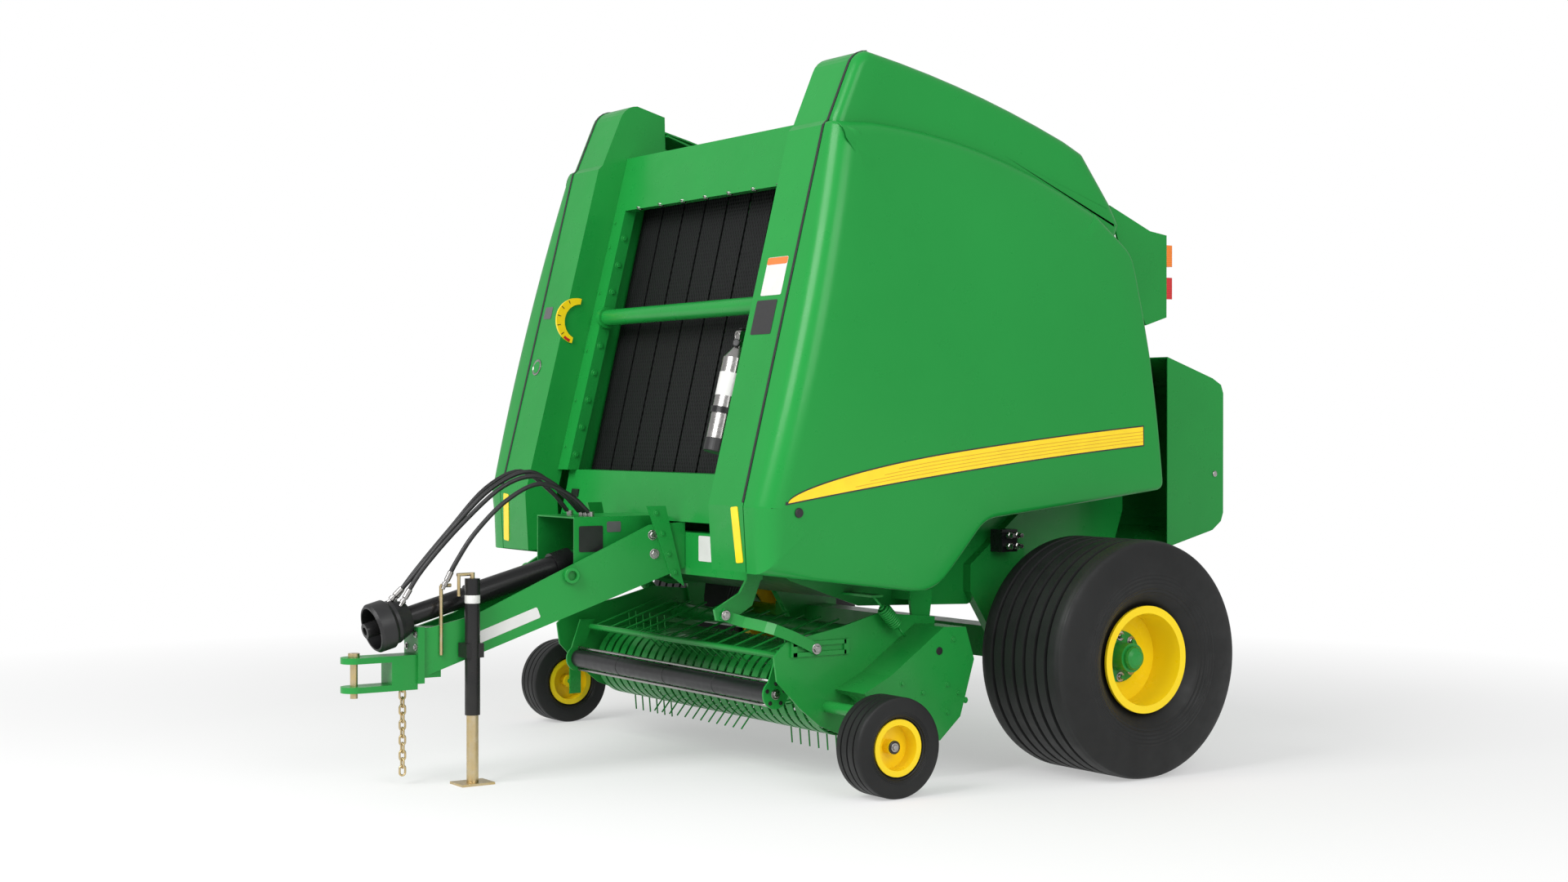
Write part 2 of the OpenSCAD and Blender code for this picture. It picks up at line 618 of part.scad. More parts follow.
module gauge_tyre_l() color([0.03, 0.03, 0.03]) place() wheel_at(gauge_x, gauge_half, gauge_z, 1) tyre(gauge_od, gauge_w, gauge_seat + seat, 57, gauge_rim_r);
module gauge_tyre_r() color([0.03, 0.03, 0.03]) place() wheel_at(gauge_x, gauge_half, gauge_z, -1) tyre(gauge_od, gauge_w, gauge_seat + seat, 57, gauge_rim_r);
module gauge_rim_l() color([0.95, 0.78, 0.03]) place() wheel_at(gauge_x, gauge_half, gauge_z, 1) gauge_rim();
module gauge_rim_r_node() color([0.95, 0.78, 0.03]) place() wheel_at(gauge_x, gauge_half, gauge_z, -1) gauge_rim();

module pickup_plate_shape() {
    polygon([[600, 560], [600, 670], [900, 700], [1100, 650], [1380, 600], [1440, 540], [1425, 440], [1310, 320],
        [1210, 240], [1110, 200], [900, 190], [760, 260]]);
}

module pickup_plates() color([0.14, 0.55, 0.22]) place() {
    difference() {
        union() {
            both() side(pickup_half, pickup_half + 10) pickup_plate_shape();
            bar(760, 570, 40, -pickup_half - 5, pickup_half + 5);
            side(pickup_half + 9, pickup_half + 210) difference() {
                polygon([[1130, 390], [990, 455], [710, 645], [590, 640], [545, 500], [620, 260], [730, 165], [900, 230]]);
                polygon([[1090, 390], [985, 440], [705, 630], [600, 626], [562, 500], [634, 265], [735, 185], [890, 250]]);
            }
            side(pickup_half + 205, pickup_half + 213)
                polygon([[1130, 390], [990, 455], [710, 645], [590, 640], [545, 500], [620, 260], [730, 165], [900, 230]]);
        }
        bar(reel_x, reel_z, 30 + run, -pickup_half - 50, pickup_half + 50);
        both() bar(lift_x, lift_z, 20 + run, pickup_half - 5, pickup_half + 15);
    }
}

module band_shape() {
    difference() {
        union() {
            circle(r = band_r);
            translate([-260, 0]) square([260, band_r]);
        }
        circle(r = band_r - 5);
        translate([-300, -1]) square([300, band_r - 4]);
        translate([-300, -300]) square([210, 300.5]);
    }
}

module stripper_bands() color([0.14, 0.55, 0.22]) place() {
    for (i = [0:bands - 1]) translate([reel_x, (i - (bands - 1) / 2) * tine_pitch, reel_z])
        side(-(tine_pitch - band_gap) / 2, (tine_pitch - band_gap) / 2) band_shape();
    block([reel_x - 264, seat - pickup_half, reel_z - 60], [reel_x - 258, pickup_half - seat, reel_z + band_r]);
}

module pickup_reel() color([0.14, 0.55, 0.22]) place() translate([reel_x, 0, reel_z]) {
    bar(0, 0, 30, -pickup_half - 10, pickup_half + 10);
    for (y = [-450, 450]) bar(0, 0, 124, y - 4, y + 4);
    for (s = [-1, 1]) bar(0, 0, 124, s * 915 - 4, s * 915 + 4);
    for (k = [0:3]) {
        rotate([0, 50 + k * 90, 0]) {
            bar(110, 0, 11, -450, 450);
            for (i = [-6:5]) translate([108, (i + 0.5) * tine_pitch, 0])
                rotate([0, 90, 0]) cylinder(r = 3.5, h = tine_tip - 108);
        }
        rotate([0, 5 + k * 90, 0]) for (s = [-1, 1]) {
            bar(110, 0, 11, s > 0 ? 450 : -915, s > 0 ? 915 : -450);
            for (i = [7:12]) translate([108, s * (i + 0.5) * tine_pitch, 0])
                rotate([0, 90, 0]) cylinder(r = 3.5, h = tine_tip - 108);
        }
    }
}

module gauge_arms() color([0.14, 0.55, 0.22]) place() both() {
    bar(gauge_x, 320, 25, pickup_half + 10 + seat, 1262);
    block([gauge_x - 30, 1250, 150], [gauge_x + 30, 1262, 370]);
    bar(gauge_x, gauge_z, 12, 1261, gauge_half + 20);
}

module windguard() color([0.14, 0.55, 0.22]) place() {
    both() {
        difference() {
            union() {
                bar(guard_x, guard_z, 62, guard_half + 6, guard_half + 16);
                side(guard_half + 6, guard_half + 16) polygon([[guard_x - 20, guard_z + 40], [guard_x + 40, guard_z + 40],
                    [1360, 560], [1280, 560]]);
            }
            bar(guard_x, guard_z, 12 + run, 0, guard_half + 40);
        }
        bar(1300, 525, 14, 0, pickup_half - seat);
        for (z = [-52, 52]) bar(guard_x, guard_z + z, 6, 0, guard_half + 8);
    }
    for (i = [-6:6]) translate([1300, i * 2 * tine_pitch, 530]) rotate([0, -72, 0]) cylinder(r = 5, h = 400);
}

module windguard_roller() color([0.02, 0.02, 0.02]) place() {
    bar(guard_x, guard_z, guard_r, -guard_half, guard_half);
    bar(guard_x, guard_z, 12, -guard_half - 14, guard_half + 14);
}

side_sheets();
front_columns();
top_rails();
top_beam();
posts();
lower_panel();
panel_latches();
cross_tube();
belts();
belt_rollers();
axle_beam();
roller_housing();
front_cross();
tongue();
hitch_clevis();
hitch_pin();
gearbox_hood();
gearbox();
driveline();
driveline_bell();
pto_coupler();
jack_tube();
jack_crank();
jack_leg();
hose_rest();
safety_chain();
hose_fittings();
hose_a();
hose_b();
hose_c();
hose_d();
extinguisher();
extinguisher_strap();
bale_gauge();
left_shield();
right_shield();
shield_latch_l();
shield_latch_r();
tailgate_sheets();
tailgate_rear();
lamp_brackets();
amber_lamps();
red_lamps();
wrap_box();
main_tyre_l();
main_rim_l();
main_hub_l();
main_tyre_r();
main_rim_r();
main_hub_r();
gauge_tyre_l();
gauge_rim_l();
gauge_tyre_r();
gauge_rim_r_node();  // gauge_rim_r
pickup_plates();
stripper_bands();
gauge_arms();
windguard();
pickup_reel();
windguard_roller();
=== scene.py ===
"""Looks of the round baler: finishes, shields, tyres, hoses, fittings, floor, light and camera."""
import json
import math

import bmesh
import bpy
from mathutils import Matrix, Vector


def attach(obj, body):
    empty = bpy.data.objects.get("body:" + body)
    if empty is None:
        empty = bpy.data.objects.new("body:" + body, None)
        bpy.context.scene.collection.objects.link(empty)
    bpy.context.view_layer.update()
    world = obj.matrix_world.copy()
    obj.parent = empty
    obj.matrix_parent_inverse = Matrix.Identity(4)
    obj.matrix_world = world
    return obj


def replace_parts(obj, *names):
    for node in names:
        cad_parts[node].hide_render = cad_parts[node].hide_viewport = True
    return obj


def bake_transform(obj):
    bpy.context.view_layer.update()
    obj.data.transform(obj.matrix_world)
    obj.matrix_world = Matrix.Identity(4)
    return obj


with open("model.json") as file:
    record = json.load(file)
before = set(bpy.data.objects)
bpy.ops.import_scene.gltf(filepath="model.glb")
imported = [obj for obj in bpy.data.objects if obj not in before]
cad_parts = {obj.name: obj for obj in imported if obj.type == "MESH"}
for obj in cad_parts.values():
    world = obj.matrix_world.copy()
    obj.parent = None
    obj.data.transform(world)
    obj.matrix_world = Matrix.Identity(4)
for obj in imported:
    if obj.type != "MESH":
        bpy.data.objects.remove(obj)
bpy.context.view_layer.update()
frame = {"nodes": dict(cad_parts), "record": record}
NODES = frame["nodes"]

# The solids are set out from the main axle, which lies this far behind the row's origin
AXLE_BACK = 0.970

# Camera, solved from the wheels and the level edges of the machine
CAMERA_AT = (5.4325, 8.359, 1.4994)
CAMERA_YAW = -2.1656
CAMERA_PITCH = -0.0072
FOCAL_PX = 2648.0
IMAGE_W = 1920.0
SENSOR_MM = 36.0

# Leaning front and barrelled shields, in metres from the axle
LEAN = math.radians(14.3)
FRONT_FOOT = 1.975
KINK_Z = 1.174
FOOT_SLOPE = 0.06
OPENING_SET = 0.145
SHIELD_Y = 1.270
SHIELD_IN = 1.081
BARREL_R = 6.330
BARREL_Z = 1.821
CREST_Y = 1.130
LATCH = (1.517, 1.150)
COLUMN_IN = 0.817
COLUMN_OUT = 1.075
COLUMN_DEPTH = 0.170
COLUMN_FOOT = 0.908
STEP_Z = 2.738
HITCH_REACH = 2.940
TONGUE_FRONT = HITCH_REACH - 0.340
HOSE_R = 0.010
JACK_X = 2.420
CREST_C = (1.060, 2.960)
CREST_R = 0.100
MAIN_TYRE_Y = 1.400
MAIN_R = 0.507
GAUGE_X = 1.170
GAUGE_TYRE_Y = 1.373
GAUGE_R = 0.205

# Along the leaning front, and straight out from it
RISE = Vector((-math.sin(LEAN), 0, math.cos(LEAN)))
OUT = Vector((math.cos(LEAN), 0, math.sin(LEAN)))
SIDES = ((1, "l"), (-1, "r"))


def at(x, y, z):
    """A point measured from the main axle, in the row's frame."""
    return Vector((x - AXLE_BACK, y, z))


def front_x(z):
    """Front face of the machine at height z, from the axle."""
    return FRONT_FOOT - max(z, KINK_Z) * math.tan(LEAN) - max(0.0, KINK_Z - z) * FOOT_SLOPE


def shield_y(x, z):
    """Outer face of the left shield at x, z, from the axle."""
    up = (FRONT_FOOT - x) * math.sin(LEAN) + z * math.cos(LEAN)
    return SHIELD_Y - BARREL_R + math.sqrt(BARREL_R ** 2 - (up - BARREL_Z) ** 2)


# Front edge of the column and its crest above the step, seen from the side
CREST_FRONT = [(front_x(STEP_Z), STEP_Z), (front_x(STEP_Z) - 0.023, STEP_Z + 0.022)]
CREST_FRONT += [(CREST_C[0] + CREST_R * math.cos(math.radians(a)),
                 CREST_C[1] + CREST_R * math.sin(math.radians(a)))
                for a in (20, 34, 48, 62, 76, 90)]


def add_camera():
    data = bpy.data.cameras.new("camera")
    data.sensor_width = SENSOR_MM
    data.lens = FOCAL_PX / IMAGE_W * SENSOR_MM
    data.clip_end = 100
    cam = bpy.data.objects.new("camera", data)
    bpy.context.scene.collection.objects.link(cam)
    look = Vector((math.cos(CAMERA_YAW) * math.cos(CAMERA_PITCH),
                   math.sin(CAMERA_YAW) * math.cos(CAMERA_PITCH), math.sin(CAMERA_PITCH)))
    cam.location = CAMERA_AT
    cam.rotation_euler = look.to_track_quat("-Z", "Y").to_euler()
    bpy.context.scene.camera = cam


add_camera()


class Graph:
    """A material's node tree, with short calls to add and join nodes."""

    def __init__(self, name):
        self.material = bpy.data.materials.new(name)
        self.material.use_nodes = True
        self.nodes = self.material.node_tree.nodes
        self.links = self.material.node_tree.links
        self.shader = self.nodes["Principled BSDF"]
        self.place = self.add("ShaderNodeTexCoord").outputs["Object"]

    def add(self, kind, **inputs):
        node = self.nodes.new(kind)
        for key, value in inputs.items():
            node.inputs[key.replace("_", " ")].default_value = value
        return node

    def join(self, out, node, key):
        self.links.new(out, node.inputs[key])

    def set(self, **inputs):
        for key, value in inputs.items():
            self.shader.inputs[key.replace("_", " ")].default_value = value

    def noise(self, scale, detail=3.0, rough=0.55, place=None):
        node = self.add("ShaderNodeTexNoise", Scale=scale, Detail=detail, Roughness=rough)
        self.join(place or self.place, node, "Vector")
        return node.outputs["Fac"]

    def spread(self, value, low, high, start=0.3, end=0.7):
        """Maps a texture's middle range onto low to high."""
        node = self.nodes.new("ShaderNodeMapRange")
        for key, number in (("From Min", start), ("From Max", end), ("To Min", low), ("To Max", high)):
            node.inputs[key].default_value = number
        self.join(value, node, "Value")
        return node.outputs["Result"]

    def mix(self, fac, a, b):
        """Colour a where fac is 0 and b where it is 1."""
        node = self.nodes.new("ShaderNodeMix")
        node.data_type = "RGBA"
        sockets = [s for s in node.inputs if s.type == "RGBA"]
        for socket, colour in zip(sockets, (a, b)):
            if isinstance(colour, bpy.types.NodeSocket):
                self.links.new(colour, socket)
            else:
                socket.default_value = (*colour, 1)
        self.join(fac, node, 0)
        return [s for s in node.outputs if s.type == "RGBA"][0]

    def math(self, operation, a, b=0.0):
        node = self.nodes.new("ShaderNodeMath")
        node.operation = operation
        for socket, value in zip(node.inputs, (a, b)):
            if isinstance(value, bpy.types.NodeSocket):
                self.links.new(value, socket)
            else:
                socket.default_value = value
        return node.outputs[0]

    def axes(self, place=None):
        node = self.nodes.new("ShaderNodeSeparateXYZ")
        self.join(place or self.place, node, 0)
        return node.outputs

    def mottled(self, noise, colour, low, high):
        """Colour that shifts between two shares of itself with a noise."""
        return self.mix(self.spread(noise, 0, 1), scaled(colour, low), scaled(colour, high))

    def colour(self, socket):
        self.join(socket, self.shader, "Base Color")

    def roughness(self, socket):
        self.join(socket, self.shader, "Roughness")

    def bump(self, height, strength, distance, base=None):
        node = self.add("ShaderNodeBump", Strength=strength, Distance=distance)
        self.join(height, node, "Height")
        if base is not None:
            self.join(base, node, "Normal")
        self.join(node.outputs["Normal"], self.shader, "Normal")
        return node.outputs["Normal"]

    def rounded(self, radius):
        """Edges softened as a folded or moulded edge is."""
        node = self.nodes.new("ShaderNodeBevel")
        node.samples = 8
        node.inputs["Radius"].default_value = radius
        return node.outputs["Normal"]


def scaled(colour, k):
    return tuple(min(1.0, c * k) for c in colour)


def paint(name, colour, rough=0.3, coat=0.06):
    """Sprayed paint: faint orange peel, slow shifts of tone and a film of dust low down."""
    g = Graph(name)
    tone = g.mottled(g.noise(1.7), colour, 0.93, 1.05)
    low = g.spread(g.axes()[2], 0.05, 0.0, 0.1, 0.9)
    dust = g.math("MULTIPLY", low, g.spread(g.noise(9.0, 6.0), 0.2, 1.0))
    g.colour(g.mix(dust, tone, (0.30, 0.27, 0.20)))
    g.roughness(g.spread(g.noise(14.0, 4.0), rough - 0.05, rough + 0.08))
    g.set(Coat_Weight=coat, Coat_Roughness=0.08, Specular_IOR_Level=0.28)
    g.bump(g.noise(60.0, 1.0), 0.03, 0.0006)
    return g.material


def plastic(name, colour, rough, grain=900.0, coat=0.0):
    """Moulded plastic with a fine texture."""
    g = Graph(name)
    g.colour(g.mottled(g.noise(6.0), colour, 0.85, 1.15))
    g.roughness(g.spread(g.noise(30.0), rough - 0.06, rough + 0.08))
    g.set(Coat_Weight=coat, Coat_Roughness=0.12)
    g.bump(g.noise(grain, 2.0), 0.10, 0.0006, g.rounded(0.002))
    return g.material


def shell(name, colour):
    """Large moulded shield: high gloss with slow waves in the skin."""
    g = Graph(name)
    g.colour(g.mottled(g.noise(0.9), colour, 0.95, 1.04))
    g.roughness(g.spread(g.noise(8.0, 4.0), 0.26, 0.36))
    g.set(Coat_Weight=0.05, Coat_Roughness=0.10, Specular_IOR_Level=0.25)
    g.bump(g.noise(3.2, 1.0), 0.05, 0.004)
    return g.material


def rubber(name, colour, rough=0.62, grain=260.0):
    """Rubber with a fine pebbled skin."""
    g = Graph(name)
    g.colour(g.mottled(g.noise(5.0, 5.0), colour, 0.75, 1.35))
    g.roughness(g.spread(g.noise(18.0), rough - 0.08, rough + 0.1))
    g.bump(g.noise(grain, 3.0), 0.15, 0.001)
    return g.material


def tyre(name, colour, centre, radius):
    """Tyre rubber: moulded rings on the sidewall, fine grain and a grey bloom on the tread."""
    g = Graph(name)
    shift = g.add("ShaderNodeVectorMath")
    shift.operation = "SUBTRACT"
    g.join(g.place, shift, 0)
    shift.inputs[1].default_value = centre
    x, _, z = g.axes(shift.outputs[0])
    reach = g.math("SQRT", g.math("ADD", g.math("MULTIPLY", x, x), g.math("MULTIPLY", z, z)))
    part = g.math("DIVIDE", reach, radius)
    rings = g.math("SINE", g.math("MULTIPLY", part, 190.0))
    band = g.math("MULTIPLY", g.spread(part, 0, 1, 0.55, 0.58), g.spread(part, 1, 0, 0.70, 0.73))
    lines = g.math("MULTIPLY", rings, band)
    bloom = g.math("MULTIPLY", g.spread(part, 0, 1, 0.95, 0.99), g.spread(g.noise(7.0, 5.0), 0.2, 0.9))
    base = g.mottled(g.noise(4.0, 5.0), colour, 0.8, 1.3)
    g.colour(g.mix(bloom, base, scaled(colour, 1.6)))
    g.roughness(g.spread(g.noise(12.0), 0.46, 0.62))
    g.set(Specular_IOR_Level=0.35)
    first = g.bump(lines, 0.5, 0.003)
    g.bump(g.noise(300.0, 3.0), 0.10, 0.001, first)
    return g.material


def belt(name, colour):
    """Woven belt: two crossing diagonal ribs across the belt's face, with painted highlight on the ribs and
    painted shade between them.
    """
    g = Graph(name)
    _, y, z = g.axes()
    rise = g.math("MULTIPLY", z, 0.6)
    one = g.math("SINE", g.math("MULTIPLY", g.math("ADD", y, rise), 300.0))
    two = g.math("SINE", g.math("MULTIPLY", g.math("SUBTRACT", y, rise), 300.0))
    weave = g.math("MAXIMUM", one, two)
    # Painted light: the colour follows the ribs' height, lighter on the ribs as painted highlight and darker
    # between them as painted shade
    g.colour(g.mix(g.spread(weave, 0, 1, 0.0, 1.0), scaled(colour, 0.4), scaled(colour, 2.2)))
    g.roughness(g.spread(g.noise(20.0), 0.5, 0.68))
    g.set(Specular_IOR_Level=0.22)
    g.bump(weave, 0.6, 0.002)
    return g.material


def metal(name, colour, rough, brushed=0.0, tint=None):
    """Bare or plated metal: streaks, faint stains and, on zinc, a shift of tint."""
    g = Graph(name)
    base = g.mottled(g.noise(11.0, 5.0), colour, 0.85, 1.1)
    if tint:
        base = g.mix(g.spread(g.noise(26.0, 4.0), 0, 0.7), base, tint)
    g.colour(base)
    g.set(Metallic=1.0)
    g.roughness(g.spread(g.noise(60.0, 5.0), max(0.04, rough - 0.08), rough + 0.12))
    g.bump(g.noise(380.0, 2.0), 0.05 + brushed, 0.0005, g.rounded(0.001))
    return g.material


def lens(name, colour):
    """Moulded lamp lens with fine upright ribs, painted lighter and darker with their relief as highlight and
    shade.
    """
    g = Graph(name)
    _, y, z = g.axes()
    ribs = g.math("SINE", g.math("MULTIPLY", y, 1000.0))
    cells = g.math("SINE", g.math("MULTIPLY", z, 700.0))
    relief = g.spread(g.math("MULTIPLY", ribs, cells), 0, 1, -1, 1)
    # Painted light: the colour follows the ribs and cells, lighter on their crests as painted highlight and
    # darker between them as painted shade
    g.colour(g.mix(relief, scaled(colour, 0.8), scaled(colour, 1.15)))
    g.roughness(g.spread(g.noise(40.0), 0.10, 0.2))
    g.set(Coat_Weight=0.6, Coat_Roughness=0.04)
    g.bump(ribs, 0.25, 0.0015, g.rounded(0.004))
    return g.material


def decal(name, colour, rough=0.35):
    """Printed film on paint."""
    g = Graph(name)
    g.colour(g.mottled(g.noise(13.0, 4.0), colour, 0.94, 1.03))
    g.roughness(g.spread(g.noise(50.0), rough - 0.05, rough + 0.07))
    g.set(Coat_Weight=0.3, Coat_Roughness=0.1)
    g.bump(g.noise(500.0), 0.03, 0.0004)
    return g.material


GREEN = (0.011, 0.265, 0.042)
YELLOW = (1.0, 0.70, 0.006)
BLACK = (0.012, 0.012, 0.013)
WHEELS = {"main_tyre_l": ((0, MAIN_TYRE_Y, MAIN_R), MAIN_R),
          "main_tyre_r": ((0, -MAIN_TYRE_Y, MAIN_R), MAIN_R),
          "gauge_tyre_l": ((GAUGE_X, GAUGE_TYRE_Y, GAUGE_R), GAUGE_R),
          "gauge_tyre_r": ((GAUGE_X, -GAUGE_TYRE_Y, GAUGE_R), GAUGE_R)}

# Maker, name and values of each finish
FINISHES = (
    (paint, "green_paint", GREEN),
    # dark_green_paint is the green paint at half its brightness, a shaded copy of it: painted shade on the
    # solids whose slot it is
    (paint, "dark_green_paint", (0.006, 0.13, 0.022), 0.4),
    (shell, "green_shell", GREEN),
    (plastic, "black_plastic", BLACK, 0.42),
    (paint, "black_steel", BLACK, 0.28),
    (plastic, "roller_cover", (0.010, 0.010, 0.012), 0.34, 500.0),
    (belt, "belt_rubber", (0.0045, 0.0047, 0.005)),
    (rubber, "hose_rubber", BLACK, 0.45, 700.0),
    (metal, "roller_steel", (0.34, 0.34, 0.35), 0.4),
    (metal, "gold_zinc", (0.62, 0.47, 0.22), 0.34, 0.05, (0.60, 0.52, 0.38)),
    (metal, "bright_steel", (0.40, 0.39, 0.38), 0.24),
    (decal, "yellow_mark", YELLOW),
    (lens, "amber_lens", (0.95, 0.22, 0.01)),
    (lens, "red_lens", (0.62, 0.012, 0.012)),
    (paint, "yellow_paint", YELLOW, 0.3),
    (decal, "white_film", (0.70, 0.70, 0.68)),
    (decal, "black_film", (0.015, 0.015, 0.016)),
    (decal, "red_film", (0.55, 0.02, 0.015)),
    (decal, "grey_film", (0.10, 0.10, 0.105)),
    (decal, "orange_film", (0.80, 0.19, 0.03)),
    (decal, "amber_line", (0.72, 0.34, 0.0)),
)
FINISH = {name: make(name, *values) for make, name, *values in FINISHES}


def dress_nodes():
    """Every solid takes its slot's finish; each tyre has one of its own, set out from its wheel's middle."""
    for part in frame["record"]["subparts"]:
        name = part["node"]
        finish = FINISH.get(part["material_slot"])
        if name in WHEELS:
            (x, y, z), radius = WHEELS[name]
            finish = tyre(name + "_rubber", (0.008, 0.0085, 0.0085), at(x, y, z), radius)
        mesh = NODES[name].data
        mesh.materials.clear()
        mesh.materials.append(finish)


dress_nodes()


# Edges bent more than this stay sharp on smooth pieces
SHARP = 0.6


def piece(name, bm, finish, body, smooth=False, sharp=SHARP):
    """Turns a bmesh into a piece that rides on a body, if one is given."""
    mesh = bpy.data.meshes.new(name)
    bmesh.ops.recalc_face_normals(bm, faces=bm.faces)
    for edge in bm.edges:
        edge.smooth = edge.calc_face_angle(0.0) < sharp
    bm.to_mesh(mesh)
    bm.free()
    for face in mesh.polygons:
        face.use_smooth = smooth
    obj = bpy.data.objects.new(name, mesh)
    bpy.context.scene.collection.objects.link(obj)
    mesh.materials.append(FINISH[finish] if isinstance(finish, str) else finish)
    if body:
        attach(obj, body)
    return obj


def tyre_profile(r, half, bead, bead_half, flange, grooves, groove):
    """Section of a ribbed tyre as a closed loop of (radius, height)."""
    d = r - bead
    wall = [(bead, bead_half), (flange + 0.002, bead_half + (flange - bead) / 4),
            (bead + 0.3 * d, 0.97 * half),
            (bead + 0.5 * d, half), (bead + 0.72 * d, 0.985 * half), (r - 0.06 * half, 0.93 * half),
            (r - 0.015 * half, 0.86 * half), (r, 0.80 * half)]
    smooth = [(p.x, p.y) for p in catmull([(a, b, 0) for a, b in wall], 4)]
    tread = []
    for g in range(grooves):
        middle = (grooves - 1 - 2 * g) * 0.75 * half / grooves
        for rim, drop in ((1.6, 0.0), (1.0, 1.0), (-1.0, 1.0), (-1.6, 0.0)):
            tread.append((r - drop * groove * 1.3, middle + rim * groove / 2))
    inner = [(r - 3.2 * groove, 0.75 * half), (bead + 0.55 * d, 0.90 * half), (bead, 0.8 * bead_half)]
    return (smooth + tread + [(a, -b) for a, b in smooth[::-1]]
            + [(a, -b) for a, b in inner[::-1]] + inner)


def add_tyres():
    """Tyres with ribbed treads in place of the plain carcasses."""
    for name, (middle, radius) in WHEELS.items():
        main = name.startswith("main")
        profile = (tyre_profile(radius, 0.273, 0.2043, 0.202, 0.228, 6, 0.013) if main
                   else tyre_profile(radius, 0.0825, 0.1003, 0.057, 0.116, 3, 0.006))
        body = ("wheel_" if main else "gauge_") + name[-1]
        hoop = ring_piece(name + "_ribbed", profile, facing(at(*middle), (0, 1, 0)), 112,
                          NODES[name].data.materials[0], body, smooth=True, closed=True)
        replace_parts(hoop, name)


def turned(direction):
    """Rotation that takes +Z to a direction."""
    return Vector(direction).to_track_quat("Z", "Y").to_matrix().to_4x4()


def wall(bm, low, high):
    """Faces between two closed loops of corners."""
    for k in range(len(low)):
        n = (k + 1) % len(low)
        bm.faces.new((low[k], low[n], high[n], high[k]))


def add_ring(bm, profile, place, segments=24, closed=False):
    """Revolves a profile of (radius, height) about the place's Z axis into bm; a closed one is a hoop."""
    loops = []
    for r, h in profile:
        loops.append([bm.verts.new(place @ Vector((r * math.cos(k * math.tau / segments),
                                                   r * math.sin(k * math.tau / segments), h)))
                      for k in range(segments)])
    for low, high in zip(loops, loops[1:] + loops[:1] if closed else loops[1:]):
        wall(bm, low, high)
    if not closed:
        bm.faces.new(loops[0])
        bm.faces.new(loops[-1])


def facing(where, direction):
    """Place whose Z axis points along a direction."""
    return Matrix.Translation(where) @ turned(direction)


def ring_piece(name, profile, place, segments, finish, body, smooth=False, closed=False):
    """A turned piece."""
    bm = bmesh.new()
    add_ring(bm, profile, place, segments, closed)
    return piece(name, bm, finish, body, smooth)


def prism_piece(name, outline, side, inner, outer, finish, body):
    """A side profile extruded between two distances from the centre line."""
    bm = bmesh.new()
    add_side_prism(bm, outline, side, inner, outer)
    return piece(name, bm, finish, body)


def add_bolt(bm, where, normal, r=0.010):
    """Hexagon head on a washer, sitting on the surface at a point."""
    place = facing(where, normal)
    add_ring(bm, [(1.7 * r, -0.001), (1.7 * r, 0.16 * r), (1.55 * r, 0.22 * r)], place, 20)
    add_ring(bm, [(1.1 * r, 0.2 * r), (1.1 * r, 0.75 * r), (0.95 * r, 0.85 * r)], place, 6)


def skin(bm, rows):
    """Closes rows of corners into one bar with both ends capped."""
    for a, b in zip(rows, rows[1:]):
        wall(bm, a, b)
    bm.faces.new(rows[0])
    bm.faces.new(rows[-1])


def bolts(name, places, body, r=0.010, finish="bright_steel"):
    bm = bmesh.new()
    for where, normal in places:
        add_bolt(bm, where, normal, r)
    return piece(name, bm, finish, body)


def add_plate(bm, where, across, up, width, height, thick=0.0012, corner=0.008):
    """Thin plate with rounded corners, its back on the point, across and up along its sides."""
    across, up = Vector(across).normalized(), Vector(up).normalized()
    out = across.cross(up)
    steps = 5
    outline = []
    for sx, sy, start in ((1, 1, 0), (-1, 1, 90), (-1, -1, 180), (1, -1, 270)):
        for k in range(steps + 1):
            a = math.radians(start + 90 * k / steps)
            outline.append((sx * (width / 2 - corner) + corner * math.cos(a),
                            sy * (height / 2 - corner) + corner * math.sin(a)))
    back = [bm.verts.new(where + across * u + up * v + out * 0.0002) for u, v in outline]
    face = [bm.verts.new(where + across * u + up * v + out * thick) for u, v in outline]
    wall(bm, back, face)
    bm.faces.new(face)
    bm.faces.new(back[::-1])


def plate(name, where, across, up, width, height, finish, body, thick=0.0012):
    bm = bmesh.new()
    add_plate(bm, where, across, up, width, height, thick, min(0.008, 0.3 * min(width, height)))
    return piece(name, bm, finish, body)


def catmull(points, steps):
    """Smooth curve through points, as the solids' hoses are laid."""
    pts = [Vector(p) for p in points]
    out = []
    for i in range(len(pts) - 1):
        a, b = pts[max(0, i - 1)], pts[i]
        c, d = pts[i + 1], pts[min(len(pts) - 1, i + 2)]
        for k in range(steps):
            t = k / steps
            out.append(0.5 * (2 * b + (c - a) * t + (2 * a - 5 * b + 4 * c - d) * t * t
                              + (3 * b - a - 3 * c + d) * t ** 3))
    out.append(pts[-1])
    return out


def tube(name, points, radius, finish):
    """Round tube along points, as a curve."""
    data = bpy.data.curves.new(name, "CURVE")
    data.dimensions = "3D"
    data.bevel_depth = radius
    data.bevel_resolution = 4
    data.use_fill_caps = True
    spline = data.splines.new("POLY")
    spline.points.add(len(points) - 1)
    for knot, p in zip(spline.points, points):
        knot.co = (*p, 1)
    spline.use_smooth = True
    obj = bpy.data.objects.new(name, data)
    bpy.context.scene.collection.objects.link(obj)
    data.materials.append(FINISH[finish])
    return obj


